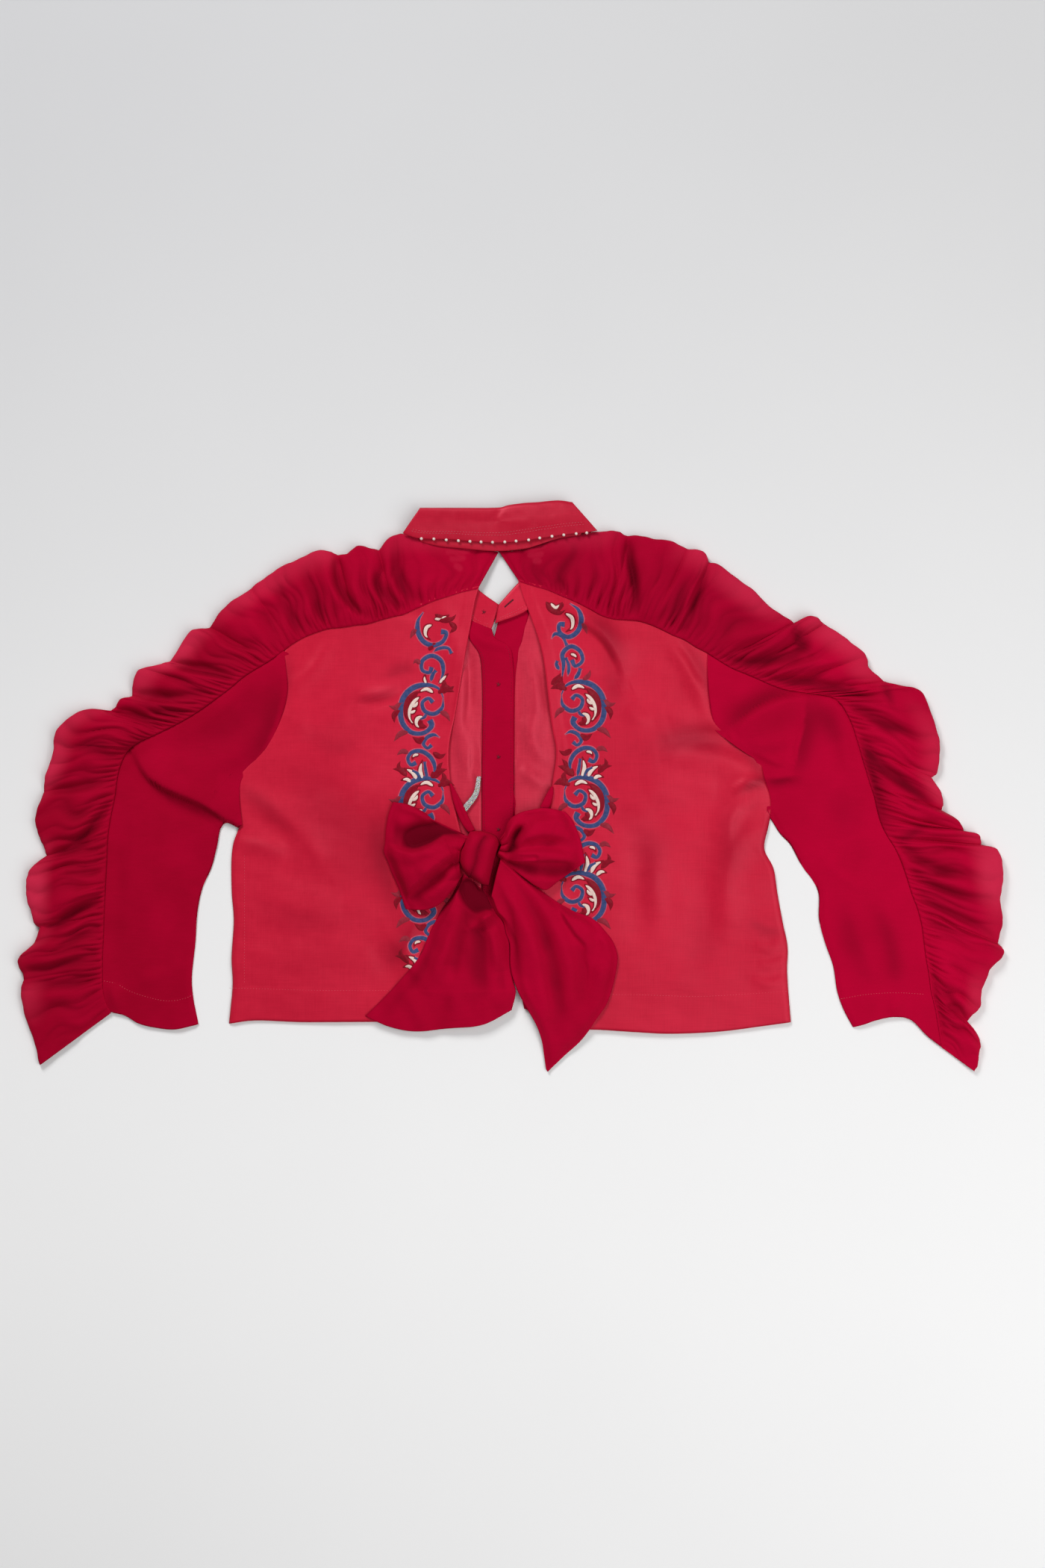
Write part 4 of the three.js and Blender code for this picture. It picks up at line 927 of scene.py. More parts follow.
# Painted shade on the back panels where folds turn from the window: line, strength, reach on its left and
# on its right.
BACK_SHADES = {
    "left": [
        ([(-208, 8), (-156, -38), (-112, -60)], 0.22, 26, 34),
        ([(-150, 84), (-130, 87), (-108, 92)], 0.4, 6, 3),
        ([(-122, 106), (-106, 112), (-92, 113)], 0.36, 8, 4),
        ([(-126, -26), (-126, -60), (-118, -92), (-106, -124)], 0.5, 4, 13),
        ([(-80, -120), (-98, -146), (-122, -174)], 0.45, 8, 12),
        ([(-266, 0), (-242, -14), (-220, -32)], 0.3, 6, 8),
        ([(-262, -52), (-240, -56), (-214, -62)], 0.2, 4, 7),
        ([(-190, 44), (-170, 36), (-150, 44)], 0.22, 9, 7),
        ([(-216, 130), (-217, 104), (-220, 80)], 0.3, 6, 2),
        ([(-250, -110), (-212, -124), (-170, -126)], 0.14, 8, 14),
    ],
    "right": [
        ([(72, 168), (86, 154), (96, 136), (100, 116)], 0.55, 13, 7),
        ([(92, 112), (98, 96), (96, 80)], 0.34, 12, 10),
        ([(136, 38), (160, 43), (186, 44), (208, 33)], 0.54, 15, 13),
        ([(176, 134), (186, 110), (191, 84), (197, 62)], 0.34, 5, 3.5),
        ([(164, 142), (176, 118), (186, 92)], 0.24, 6, 5),
        ([(212, 50), (228, 34), (241, 14), (246, 0)], 0.45, 2, 7),
        ([(222, -2), (234, 4), (248, 6)], 0.6, 4, 5),
        ([(206, -12), (211, -44), (206, -96)], 0.24, 17, 12),
        ([(252, -24), (251, -46), (246, -70)], 0.45, 3, 8),
        ([(144, -34), (139, -68), (134, -108)], 0.22, 14, 17),
        ([(110, -30), (124, -52), (128, -80)], 0.16, 16, 12),
        ([(226, -128), (246, -138), (262, -140)], 0.3, 4, 6),
        ([(178, -110), (183, -150), (178, -190)], 0.14, 18, 16),
    ],
}
BACK_REST = 2.8
BACK_DEPTH = 1.8  # times the heights in the table of folds
FACING_WIDTH = 10
FACING_THICKNESS = 0.45


def back_top(side):
    """Height of the panel's cloth over the board."""
    opening = flow(OPENING[side], 60)

    def height(plan):
        base = BACK_REST + 1.3 * placket_rise(plan, 8) + leaf_rise(plan)
        base = base + BACK_DEPTH * folds(plan, BACK_FOLDS[side])
        base = base + crumple(plan * (0.5, 1), 58, 0.8, 1) + crumple(plan * (0.6, 1), 21, 0.2, 8)
        base = kept_above(base, front_top(side, plan), 0.8)
        off = off_line(plan, opening)[0]
        facing = FACING_THICKNESS * (1 - smooth(FACING_WIDTH - 1, FACING_WIDTH + 1.5, off))
        return base + facing + hem_step(plan, HEM_STITCH[side], 0.3)

    return height


BACK_TOP = {side: back_top(side) for side in SIDES}


def over_back(plan):
    """Height of whichever back panel is nearer, for what lies on the back."""
    left = plan[..., 0] < 0
    return np.where(left, BACK_TOP["left"](plan), BACK_TOP["right"](plan))


back_stitches = []
for side in SIDES:
    opening = flow(OPENING[side], PANEL_ROWS)
    outer = outer_edge(side)
    top = flow([opening[0], *seam_line(side, slice(1, ARMHOLE_ROW), LAP), outer[0]], BACK_COLUMNS)
    plan = between(top, flow(HEM[side], BACK_COLUMNS), opening, outer)
    roll = 1.5 * (1 - smooth(0, 4, off_line(plan, flow(SIDE_SEAM[side], 40))[0]))
    height = kept_above(BACK_TOP[side](plan) - roll, front_top(side, plan), 0.5)
    # Painted shade where the panel's folds turn from the window.
    shade = {"painted_shade": np.clip(TURNED_AWAY * folds(plan, BACK_SHADES[side]), 0, 1)}
    panel = cloth(f"back_{side}", "satin", raised(plan, height), SATIN, marks=shade)
    top = lambda plan, height=BACK_TOP[side]: height(plan) + 0.1
    back_stitches += stitches(HEM_STITCH[side], top, 1.8, 1.0)
back_stitches += stitches(SIDE_STITCH, lambda plan: BACK_TOP["left"](plan) + 0.1, 1.8, 1.0)
sew(loops("back_stitches", back_stitches, THREAD, 0.22), "satin")

# Gathered bands: strips of crimson georgette folded double, gathered into the seam from the neck, over
# the shoulder and down the back of the sleeve. They billow out to the fold, which is soft and uneven.
BAND_STATIONS = 880
SKIN = {"top": 28, "turn": 4, "under": 3}
FOLD_RADIUS = 2.0
GATHERS = [  # pitch along the seam, depth, where across the band it is deepest, spread towards the fold
    (5.6, 2.3, 0.05, 0.24),
    (11.0, 3.4, 0.16, 0.34),
    (21.0, 4.6, 0.45, 0.4),
    (14.5, 2.4, 0.72, 0.6),
]
BAND_FOLDS = {
    "left": [
        ([(-113, 234), (-111, 205), (-100, 186), (-88, 174)], -3.0, 6, 5),
        ([(-131, 208), (-126, 190), (-110, 174), (-99, 167)], -2.6, 6, 4),
        ([(-168, 224), (-169, 205), (-166, 190), (-155, 175), (-141, 163)], -3.6, 4, 3),
        ([(-176, 224), (-178, 205), (-172, 186), (-160, 170)], 2.6, 6, 8),
        ([(-200, 206), (-190, 180), (-180, 156)], -2.4, 5, 6),
        ([(-226, 196), (-215, 165), (-201, 147)], -2.4, 5, 6),
        ([(-236, 190), (-250, 165), (-240, 140)], 1.6, 8, 8),
        ([(-262, 105), (-290, 113), (-326, 119)], -3.2, 5, 4),
        ([(-290, 88), (-330, 87), (-366, 88)], -3.0, 4, 5),
        ([(-310, 69), (-330, 72), (-352, 70)], -2.4, 4, 4),
        ([(-386, 72), (-364, 68), (-350, 62), (-340, 53)], -3.0, 7, 3),
        ([(-420, 40), (-398, 34), (-380, 26)], -1.4, 10, 7),
        ([(-450, -5), (-420, -2), (-396, 4), (-384, 12)], -2.8, 6, 4),
        ([(-383, -14), (-398, -30), (-412, -48), (-430, -60)], -3.0, 5, 4),
        ([(-446, -66), (-424, -60), (-404, -52)], -2.2, 5, 4),
        ([(-392, -80), (-410, -83), (-432, -84)], -1.6, 4, 4),
        ([(-391, -105), (-420, -118), (-444, -136), (-455, -136)], -3.6, 6, 4),
        ([(-392, -95), (-416, -106), (-440, -118)], 2.0, 7, 6),
        ([(-393, -135), (-420, -145), (-438, -157)], -2.8, 5, 4),
        ([(-394, -160), (-420, -167), (-450, -175), (-472, -178)], -3.0, 5, 4),
        ([(-396, -178), (-430, -190), (-468, -188)], -2.0, 6, 5),
    ],
    "right": [
        ([(47, 185), (45, 200), (50, 212), (60, 226), (57, 241)], -3.0, 5, 6),
        ([(30, 190), (24, 206), (18, 220)], -1.6, 6, 5),
        ([(112, 161), (118, 172), (119, 190), (115, 210), (111, 240)], -3.6, 3, 4),
        ([(104, 163), (102, 185), (100, 210), (98, 236)], 2.2, 8, 8),
        ([(128, 158), (134, 180), (136, 210), (134, 236)], 1.8, 9, 9),
        ([(189, 214), (180, 186), (166, 157), (159, 145)], -2.8, 4, 3),
        ([(148, 150), (158, 172), (168, 200)], -1.6, 5, 5),
        ([(200, 121), (220, 119), (240, 120), (278, 130), (270, 155)], -3.4, 5, 6),
        ([(205, 142), (235, 146), (268, 150)], 2.4, 8, 8),
        ([(272, 156), (278, 140), (288, 126)], -2.4, 5, 4),
        ([(240, 103), (280, 100), (320, 93), (352, 82)], -3.8, 5, 5),
        ([(244, 112), (290, 116), (334, 122)], 2.4, 9, 8),
        ([(320, 80), (344, 68), (364, 58), (396, 45)], -3.4, 6, 5),
        ([(330, 52), (350, 25), (378, 2), (402, -14)], -4.0, 6, 5),
        ([(334, 66), (360, 44), (392, 20)], 2.4, 8, 8),
        ([(340, 30), (348, -8), (353, -32)], -3.0, 5, 6),
        ([(352, -12), (376, -16), (400, -22), (430, -34)], 2.6, 6, 7),
        ([(362, -50), (384, -66), (410, -80), (440, -86)], -3.2, 6, 5),
        ([(376, -76), (400, -92), (430, -104), (470, -110)], -3.0, 5, 5),
        ([(384, -100), (410, -116), (436, -128), (466, -146)], -3.0, 5, 4),
        ([(394, -125), (415, -136), (446, -144)], -2.0, 5, 4),
        ([(398, -160), (403, -185), (407, -214), (413, -246)], -2.6, 7, 5),
        ([(404, -150), (420, -180), (436, -215)], 2.0, 9, 9),
        ([(440, -226), (428, -214), (416, -196)], -2.4, 5, 5),
    ],
}
BAND_DEPTH = 1.9  # times the heights in the table of folds
BOARD_PLY = 0.35  # height of the under layer
NECK_GLIMPSES = [  # where the satin seam allowance shows through
    [(-61, 226), (-52, 226), (-43, 227)], [(-57, 219), (-52, 219), (-47, 220)],
    [(-53, 212), (-51, 211), (-50, 210)],
    [(13, 229), (22, 230), (31, 232)], [(18, 223), (23, 223), (28, 224)], [(23, 217), (25, 217), (26, 217)],
]
UNDER_BAND = [[(-38, 188), (-56, 207), (-71, 225)], [(7, 188), (29, 206), (52, 224)]]  # stand ends below
# Painted shade on the bands: line, strength, reach on its left and reach on its right.
BAND_SHADES = {
    "left": [
        ([(-376, 34), (-362, 42), (-345, 50)], 0.4, 5, 5),
        ([(-366, 80), (-344, 77), (-326, 66)], 0.3, 4, 4),
        ([(-418, 38), (-400, 40), (-384, 38)], 0.35, 5, 5),
    ],
    "right": [
        ([(348, 4), (352, -20), (359, -46)], 0.6, 10, 1.5),
        ([(372, -50), (384, -46), (396, -40)], 0.6, 5, 4),
        ([(357, 101), (361, 88), (366, 76)], 0.6, 5, 3),
        ([(334, 40), (344, 16), (351, -8)], 0.5, 9, 3),
        ([(340, 66), (356, 58), (378, 54)], 0.4, 5, 4),
        ([(372, 4), (392, -8), (410, -18)], 0.5, 6, 4),
    ],
}
SHADED_SHOULDER = [[(40, 215), (90, 212), (140, 195), (190, 172), (240, 140)]]  # turned from the window


def nicks(puff):
    """Rows where two billows of the folded edge meet."""
    dips = [k for k in range(1, len(puff) - 1) if puff[k] <= puff[k - 1] and puff[k] < puff[k + 1]]
    return [0, *dips, len(puff) - 1]


def by_row(points, count, stops):
    """A smooth line through the rows' points, broken at the stops, as (row number, x, y)."""
    rows = []
    for first, last in zip(stops, stops[1:]):
        part = points[first:last + 1]
        fine = flow(part, count)
        leg = np.concatenate([[0], np.cumsum(np.linalg.norm(np.diff(part, axis=0), axis=1))])
        whole = np.concatenate([[0], np.cumsum(np.linalg.norm(np.diff(fine, axis=0), axis=1))])
        place = np.interp(whole / whole[-1], leg / leg[-1], np.arange(first, last + 1))
        rows.append(np.column_stack([place, fine]))
    return np.vstack(rows)


def at_rows(rows, place):
    return np.column_stack([np.interp(place, rows[:, 0], rows[:, k]) for k in (1, 2)])


def bulge(t, depth):
    """Round ridges with sharp valleys between them, once for each whole number."""
    return -depth * (1 - np.abs(np.sin(np.pi * t)) ** 0.75)


def spread(across, peak, reach):
    """How strong a set of gathers is across the band: quick to rise, slow to fade."""
    return smooth(-0.004, peak, across) * np.exp(-(np.maximum(across - peak, 0) / reach) ** 2)


def band_grid(side):
    table = BAND[side]
    seam, edge, puff = table[:, :2], table[:, 2:4], table[:, 4]
    stops = nicks(puff)
    seam_rows = by_row(seam, 400, [0, len(seam) - 1])
    edge_rows = by_row(edge, 60, stops)
    even = np.linspace(0, len(table) - 1, 3000)
    pace = [np.linalg.norm(np.diff(at_rows(rows, even), axis=0), axis=1) for rows in (seam_rows, edge_rows)]
    run = np.concatenate([[0], np.cumsum(pace[0] + 0.6 * pace[1])])
    place = np.interp(np.linspace(0, run[-1], BAND_STATIONS), run, even)
    inner, outer = at_rows(seam_rows, place), at_rows(edge_rows, place)
    along = np.concatenate([[0], np.cumsum(np.linalg.norm(np.diff(inner, axis=0), axis=1))])
    ends = np.searchsorted(stops, place, side="right").clip(1, len(stops) - 1)
    first, last = np.array(stops)[ends - 1], np.array(stops)[ends]
    past = np.clip((place - first) / (last - first), 0, 1)
    ahead = np.clip((last - place) / (last - first), 0, 1)
    lobe = (4 * past * ahead) ** 0.42
    billows = np.pad(np.where(puff > 4, puff, 6), 1, mode="edge")
    crown = np.convolve(billows, [0.25, 0.5, 0.25], mode="valid")
    height = np.interp(place, np.arange(len(table)), np.minimum(crown, puff.max()))
    neck = smooth(0, 90, along) * smooth(0, 40, along[-1] - along)

    v = np.concatenate([
        np.linspace(0, 1, SKIN["top"]) ** 1.25,
        1 + np.arange(1, SKIN["turn"] + 1) / SKIN["turn"],
        2 + np.linspace(0, 1, SKIN["under"] + 1)[1:],
    ])[:, None]
    across = np.clip(v, 0, 1)
    width = np.linalg.norm(outer - inner, axis=1)
    turning = np.clip(v - 1, 0, 1) * math.pi
    back = np.clip(v - 2, 0, 1)
    reach = across * (width - FOLD_RADIUS) + FOLD_RADIUS * np.sin(turning)
    reach = reach * (1 - back) + back * 2
    share = (reach / width)[..., None]
    sway = wander(along[None], across * 60, 52, 3) * 5.5 * np.sin(np.pi * across)
    plan = mix(inner[None], outer[None], share)
    frill = wander(along[None], 0 * across, 19, 6) * 1.1 + wander(along[None], 0 * across, 9, 2) * 0.4
    outward = (outer - inner) / width[:, None]
    plan = plan + outward[None] * (frill * smooth(0.5, 1, share[..., 0]))[..., None]

    body = np.sin(np.pi * across**0.8 * 0.86) ** 0.8
    crest = height * neck * 0.95 * mix(1, lobe[None], smooth(0.1, 0.65, across))
    seat = 0.6 + np.where(place < ARMHOLE_ROW + 0.5, BACK_TOP[side](inner), SLEEVE_TOP[side](inner))
    top = mix(seat[None], 1.2 + FOLD_RADIUS * 2, smooth(0.1, 0.85, across)) + crest * body
    relief = 0
    for k, (pitch, depth, peak, reach) in enumerate(GATHERS):
        uneven = wander(along[None], 0 * across, pitch * 6, 2 + k)
        phase = (along[None] + sway * (0.4 + 0.5 * k)) / pitch + 0.45 * uneven
        strong = 0.75 + 0.45 * wander(along[None], across * 30, pitch * 4.5, 7 + k)
        relief = relief + bulge(phase, depth * strong * mix(0.55, 1, neck)) * spread(across, peak, reach)
    placed = BAND_DEPTH * folds(plan, BAND_FOLDS[side])
    relief = relief + placed * smooth(0.0, 0.12, across) * smooth(1.02, 0.9, across)
    top = top + relief
    top = top + crumple(plan, 31, 0.55, 3) * np.sin(np.pi * across) + crumple(plan, 13, 0.22, 5) * across
    stand_below = 3.9 * near_lines(plan, UNDER_BAND, 12, 26)
    top = kept_above(top, 1.9 + 0.6 * across + stand_below, 0)
    rim = top[SKIN["top"] - 1]
    under = BOARD_PLY + 0.12 * wander(along, along * 0, 30, 4)
    z = np.where(v <= 1, top, mix(rim, under, (1 - np.cos(turning)) / 2))
    sheer = smooth(0.55, 1.0, across) * (0.55 + 0.45 * wander(along[None], across * 50, 60, 9))
    sheer = np.clip(sheer, 0, 1) * (0.5 + 0.5 * lobe[None]) * neck * (v <= 1.6)
    glimpse = near_lines(plan, NECK_GLIMPSES, 1.5, 6) * 0.4 * (v <= 1)
    # Painted shade: darker in the valleys of the gathers, along the shade lines and over the shoulder
    # turned from the window.
    painted_shade = np.clip(-relief / 8.5, 0, 1) ** 1.2
    painted_shade = 0.8 * painted_shade + folds(plan, BAND_SHADES[side])
    painted_shade = np.clip(painted_shade + 0.22 * near_lines(plan, SHADED_SHOULDER, 20, 70), 0, 1)
    return raised(plan, z), np.maximum(sheer, glimpse), painted_shade


for side in SIDES:
    grid, sheer, painted_shade = band_grid(side)
    band = cloth(f"ruche_{side}", "georgette", grid, GEORGETTE, 0.35, {"sheer": sheer, "painted_shade": painted_shade})

# Collar: a satin shirt collar folded over its stand strip, topstitched twice along the outer edge, with
# small pearls sewn on it. It is two layers of satin with interfacing between them.
STRIP_LOWER = [(-88, 235.5), (-70, 231), (-50, 229), (-30, 227), (-13, 226.3), (0, 227), (15, 229),
               (25, 232),
               (45, 238.5), (66, 241.5)]
STRIP_UPPER = [(-93, 246), (-60, 247), (-13, 247), (20, 249), (70, 252)]
FALL_EDGE = [(-104.5, 243.5), (-92, 239), (-80, 238), (-60, 237.5), (-30, 235), (-10, 234.5), (10, 236),
             (30, 239),
             (50, 242), (73, 244.5), (82, 246)]
FALL_FOLD = [(-88, 267.5), (-50, 267.5), (-20, 267.6), (-10, 268.2), (-4, 270), (12, 272.2), (25, 273),
             (45, 274.7),
             (58, 273)]
FALL_PROFILE = [  # share of the way from the edge to the fold, height of the cloth's middle
    (0, 9.5), (0.03, 10.1), (0.2, 10.9), (0.45, 11.3), (0.7, 10.8), (0.88, 9.9), (0.96, 9.0), (0.995, 7.7),
    (0.96, 6.4), (0.85, 5.9), (0.6, 6.2), (0.42, 6.7),
]
FALL_FOLDS = [([(44, 266), (34, 258), (22, 247)], -0.8, 4, 6),
              ([(-7, 269), (-14, 261), (-17, 250)], -0.6, 3, 4)]
TOPSTITCH = [(0.2, 0.16, 0.24), (0.27, 0.22, 0.31)]  # share of the fall at the middle, left end, right end
PEARLS = [(-86.7, 238.0), (-74.7, 237.7), (-62.8, 236.8), (-51.2, 236.0), (-40.0, 235.4), (-29.4, 234.9),
          (-18.4, 234.6), (-6.6, 234.9), (4.2, 235.8), (16.3, 236.8), (26.9, 238.7), (38.7, 240.3),
          (50.0, 241.6),
          (62.0, 242.8), (72.1, 243.5)]
PEARL_RADIUS = 1.45
PEARL_REST = 10.1

STRIP_REST = 6.5
FALL_COLUMNS = 150
FALL_ROWS = 56
FALL_TOP_ROWS = 25  # of those, the ones from the edge to the fold

# Stiffened satin, which stands a little in shade.
COLLAR_SATIN = satin("collar_satin", (166, 14, 40), (192, 24, 52))
share = np.linspace(0, 1, 16)[:, None, None]
plan = mix(flow(STRIP_LOWER, 220)[None], flow(STRIP_UPPER, 220)[None], share)
height = STRIP_REST + leaf_rise(plan) + 0.5 * smooth(0, 0.15, share[..., 0]) + crumple(plan, 22, 0.2, 3)
strip = cloth("collar_stand", "satin", raised(plan, height), COLLAR_SATIN, 0.8)
strip_top = lambda plan: 6.9 + leaf_rise(plan)
strip_stitches = stitches(flow([(x, y + 2.2) for x, y in STRIP_LOWER], 80), strip_top, 1.8, 0.9)

profile = flow(FALL_PROFILE, FALL_ROWS)
edge, fold = flow(FALL_EDGE, FALL_COLUMNS), flow(FALL_FOLD, FALL_COLUMNS)
plan = mix(edge[None], fold[None], profile[:, 0][:, None, None])
share, level = profile[:, :1], profile[:, 1:]
height = level + 0.55 * wander(plan[..., 0], 0 * plan[..., 0], 46, 5) * np.sin(np.pi * share)
height = height + folds(plan, FALL_FOLDS) * (share > 0.05)
height = height + crumple(plan, 12, 0.16, 8) * np.sin(np.pi * np.clip(share, 0, 1)) + leaf_rise(edge)[None]
fall = cloth("collar_fall", "satin", raised(plan, height), COLLAR_SATIN, 1.1)


def on_fall(share):
    """A line along the top of the fall, at a share of the way to the fold for each point."""
    place = mix(edge, fold, share[:, None])
    return np.column_stack([place, np.interp(share, *profile[:FALL_TOP_ROWS].T) + leaf_rise(edge) + 0.62])


for middle, left, right in TOPSTITCH:
    line = on_fall(np.interp(np.linspace(0, 1, FALL_COLUMNS), [0, 0.45, 1], [left, middle, right]))[5:-5]
    on_line = lambda plan, line=line: np.interp(plan[..., 0], line[:, 0], line[:, 2])
    strip_stitches += stitches(line[:, :2], on_line, 1.9, 0.9)
sew(loops("collar_stitches", strip_stitches, THREAD, 0.26), "satin")

pearl = Finish("pearl")
luster = pearl.between(0.35, 0.7, pearl.mottle(2.2, pearl.places()))
PEARL = pearl.paint(pearl.blend(luster, colour(232, 222, 214), colour(214, 196, 190)), 0.22)
steps = [(math.sin(a) * PEARL_RADIUS, -math.cos(a) * PEARL_RADIUS) for a in np.linspace(0.2, math.pi, 14)]
for k, (x, y) in enumerate(PEARLS, 1):
    place = (x, y, PEARL_REST + float(leaf_rise(np.array([x, y]))))
    sew(turned(f"pearl_{k}", place, steps, PEARL, 20), "button")

# Embroidery: a strip of padded satin stitch beside each opening edge, blue scrolls and cream leaves with
# dark red outlines, worked in the same repeat down the panel and turned over for the other side.
THREAD_COLOURS = {
    "blue": (colour(40, 52, 98), colour(72, 88, 138)),
    "cream": (colour(226, 192, 184), colour(244, 226, 212)),
    "wine": (colour(122, 0, 24), colour(148, 2, 34)),
    "mauve": (colour(136, 24, 44), colour(160, 44, 62)),
    "pink": (colour(184, 60, 84), colour(206, 96, 116)),
}
REPEAT = [  # thread, width, points down the strip's repeat around the middle of its ring
    ("blue", 6.0, [(-21, 12), (-17, 20), (-6, 24), (8, 21), (17, 12), (20, 0), (18, -13), (9, -22),
                   (-3, -22),
                   (-10, -15), (-8, -10)]),
    ("blue", 4.6, [(-21, 12), (-20, 2), (-12, -4), (-3, -1), (-1, 7), (-7, 11), (-11, 7)]),
    ("blue", 3.2, [(-5, -3), (-3, -7), (1, -9)]),
    ("cream", 5.0, [(1, 13), (8, 7), (12, -1), (11, -10), (3, -16)]),
    ("cream", 3.4, [(9, 2), (5, 5), (3, 10)]),
    ("cream", 3.2, [(12, -3), (8, -2), (4, 1)]),
    ("cream", 4.4, [(-2, -6), (4, -9), (4, -15), (-3, -18)]),
    ("cream", 4.0, [(-12, 16), (-5, 20), (4, 16)]),
    ("wine", 9.0, [(3, 18), (12, 8), (14, -4), (8, -16)]),
    ("wine", 7.0, [(-1, -10), (2, -14), (-6, -17)]),
    ("blue", 4.2, [(-18, -27), (-12, -24), (-5, -27), (-2, -33), (-6, -37), (-10, -34)]),
    ("blue", 4.8, [(-10, -66), (-13, -56), (-9, -46), (0, -40), (9, -41), (13, -47), (10, -53), (5, -51)]),
    ("blue", 3.6, [(-6, -68), (-4, -58), (-3, -50)]),
    ("blue", 4.2, [(0, -68), (3, -62), (9, -59)]),
    ("cream", 4.6, [(-2, -69), (1, -59), (-1, -48)]),
    ("cream", 4.6, [(4, -69), (8, -61), (17, -56)]),
    ("cream", 4.0, [(9, -71), (14, -67), (20, -68)]),
    ("cream", 3.0, [(2, -43), (7, -44), (9, -48)]),
    ("wine", 8.0, [(-9, -67), (-16, -60), (-25, -57)]),
    ("wine", 5.0, [(-16, -62), (-17, -55), (-21, -50)]),
    ("wine", 6.0, [(14, -64), (20, -58), (28, -57)]),
    ("wine", 4.0, [(20, -60), (22, -54), (20, -49)]),
    ("mauve", 6.0, [(17, 8), (25, 2), (32, 4)]),
    ("wine", 6.0, [(19, 0), (26, -5), (26, -13)]),
    ("wine", 8.0, [(-16, 16), (-23, 20), (-32, 17)]),
    ("wine", 5.0, [(-20, 19), (-22, 25), (-19, 31)]),
    ("mauve", 5.2, [(-17, -1), (-24, -5), (-28, -12)]),
    ("mauve", 5.6, [(12, -21), (20, -23), (27, -31)]),
    ("wine", 6.4, [(-4, -27), (2, -30), (9, -26)]),
    ("wine", 5.6, [(-11, -41), (-18, -45), (-24, -42)]),
    ("mauve", 5.0, [(12, -42), (18, -40), (24, -44)]),
]
HEADS = {
    "right": [
        ("blue", 5.4, [(56, 176), (64, 170), (67, 160), (63, 149), (54, 144), (46, 149), (46, 156),
                       (51, 156)]),
        ("cream", 4.2, [(51, 167), (58, 162), (58, 153), (52, 149)]),
        ("cream", 3.8, [(37, 177), (42, 172), (49, 177)]),
        ("wine", 7.0, [(33, 178), (38, 171), (46, 167), (52, 170)]),
        ("wine", 5.0, [(50, 176), (46, 172), (44, 166)]),
        ("mauve", 5.0, [(66, 158), (71, 152), (73, 146)]),
        ("blue", 3.8, [(38, 142), (42, 147), (49, 144), (53, 136)]),
        ("blue", 4.8, [(48, 102), (50, 118), (49, 128), (57, 135), (66, 130), (68, 121), (61, 116),
                       (58, 122)]),
        ("blue", 3.6, [(54, 106), (55, 116), (52, 124)]),
        ("cream", 3.0, [(56, 128), (61, 126), (63, 122)]),
        ("blue", 4.0, [(46, 112), (43, 118), (44, 121)]),
        ("blue", 4.4, [(60, 103), (64, 108), (66, 114)]),
        ("wine", 6.0, [(38, 98), (44, 104), (48, 110)]),
        ("mauve", 4.8, [(68, 102), (74, 107), (76, 113)]),
    ],
    "left": [
        ("blue", 5.4, [(-85, 168), (-90, 160), (-90, 148), (-84, 139), (-75, 136), (-66, 140),
                       (-63, 148), (-68, 149)]),
        ("cream", 4.2, [(-76, 156), (-82, 153), (-83, 146), (-78, 141)]),
        ("cream", 3.8, [(-75, 161), (-67, 162), (-60, 165)]),
        ("wine", 7.0, [(-74, 166), (-66, 161), (-58, 161), (-53, 166)]),
        ("wine", 5.4, [(-60, 158), (-55, 153), (-60, 147)]),
        ("mauve", 4.8, [(-90, 152), (-95, 148), (-98, 142)]),
        ("blue", 3.8, [(-76, 129), (-70, 133), (-61, 133), (-58, 128)]),
        ("blue", 4.8, [(-70, 99), (-66, 110), (-68, 121), (-77, 126), (-86, 121), (-86, 112),
                       (-79, 110), (-77, 115)]),
        ("blue", 4.2, [(-78, 101), (-76, 108), (-73, 112)]),
        ("cream", 3.4, [(-70, 99), (-66, 104), (-61, 109)]),
        ("cream", 2.8, [(-82, 98), (-84, 104), (-83, 109)]),
        ("wine", 5.6, [(-80, 131), (-76, 136), (-70, 138)]),
        ("mauve", 4.8, [(-87, 118), (-92, 121), (-95, 118)]),
        ("wine", 6.0, [(-66, 98), (-60, 94), (-55, 97)]),
    ],
}
RING_MIDDLES = {"left": [(-87, 74), (-87, -16), (-85, -106)], "right": [(69, 77), (72, -15), (69, -107)]}
PADDING = 0.8
OUTLINE = 0.6  # how far the pink thread reaches past a blue scroll on each side
SHADE = 1.2  # the same for the dark red thread under a cream leaf
STROKE_COLUMNS = 7
THREADS_PER_MM = 2.6

thread_finish = {}
for name, (deep, light) in THREAD_COLOURS.items():
    silk = Finish(f"embroidery_{name}", Specular_IOR_Level=0.12, Sheen_Weight=0.08)
    fibre = silk.mottle(3.5, silk.places(), 3)
    threads = {"W": silk.mark("lay"), "Scale": 2.4, "Detail": 1.0}
    rows = silk.node("ShaderNodeTexNoise", {"noise_dimensions": "1D"}, threads)
    tone = silk.between(0.3, 0.7, rows) * 0.6 + silk.between(0.3, 0.7, fibre) * 0.4
    silk.relief(rows, 0.16)
    silk.paint(silk.blend(tone, deep, light), 0.42)
    thread_finish[name] = silk.material


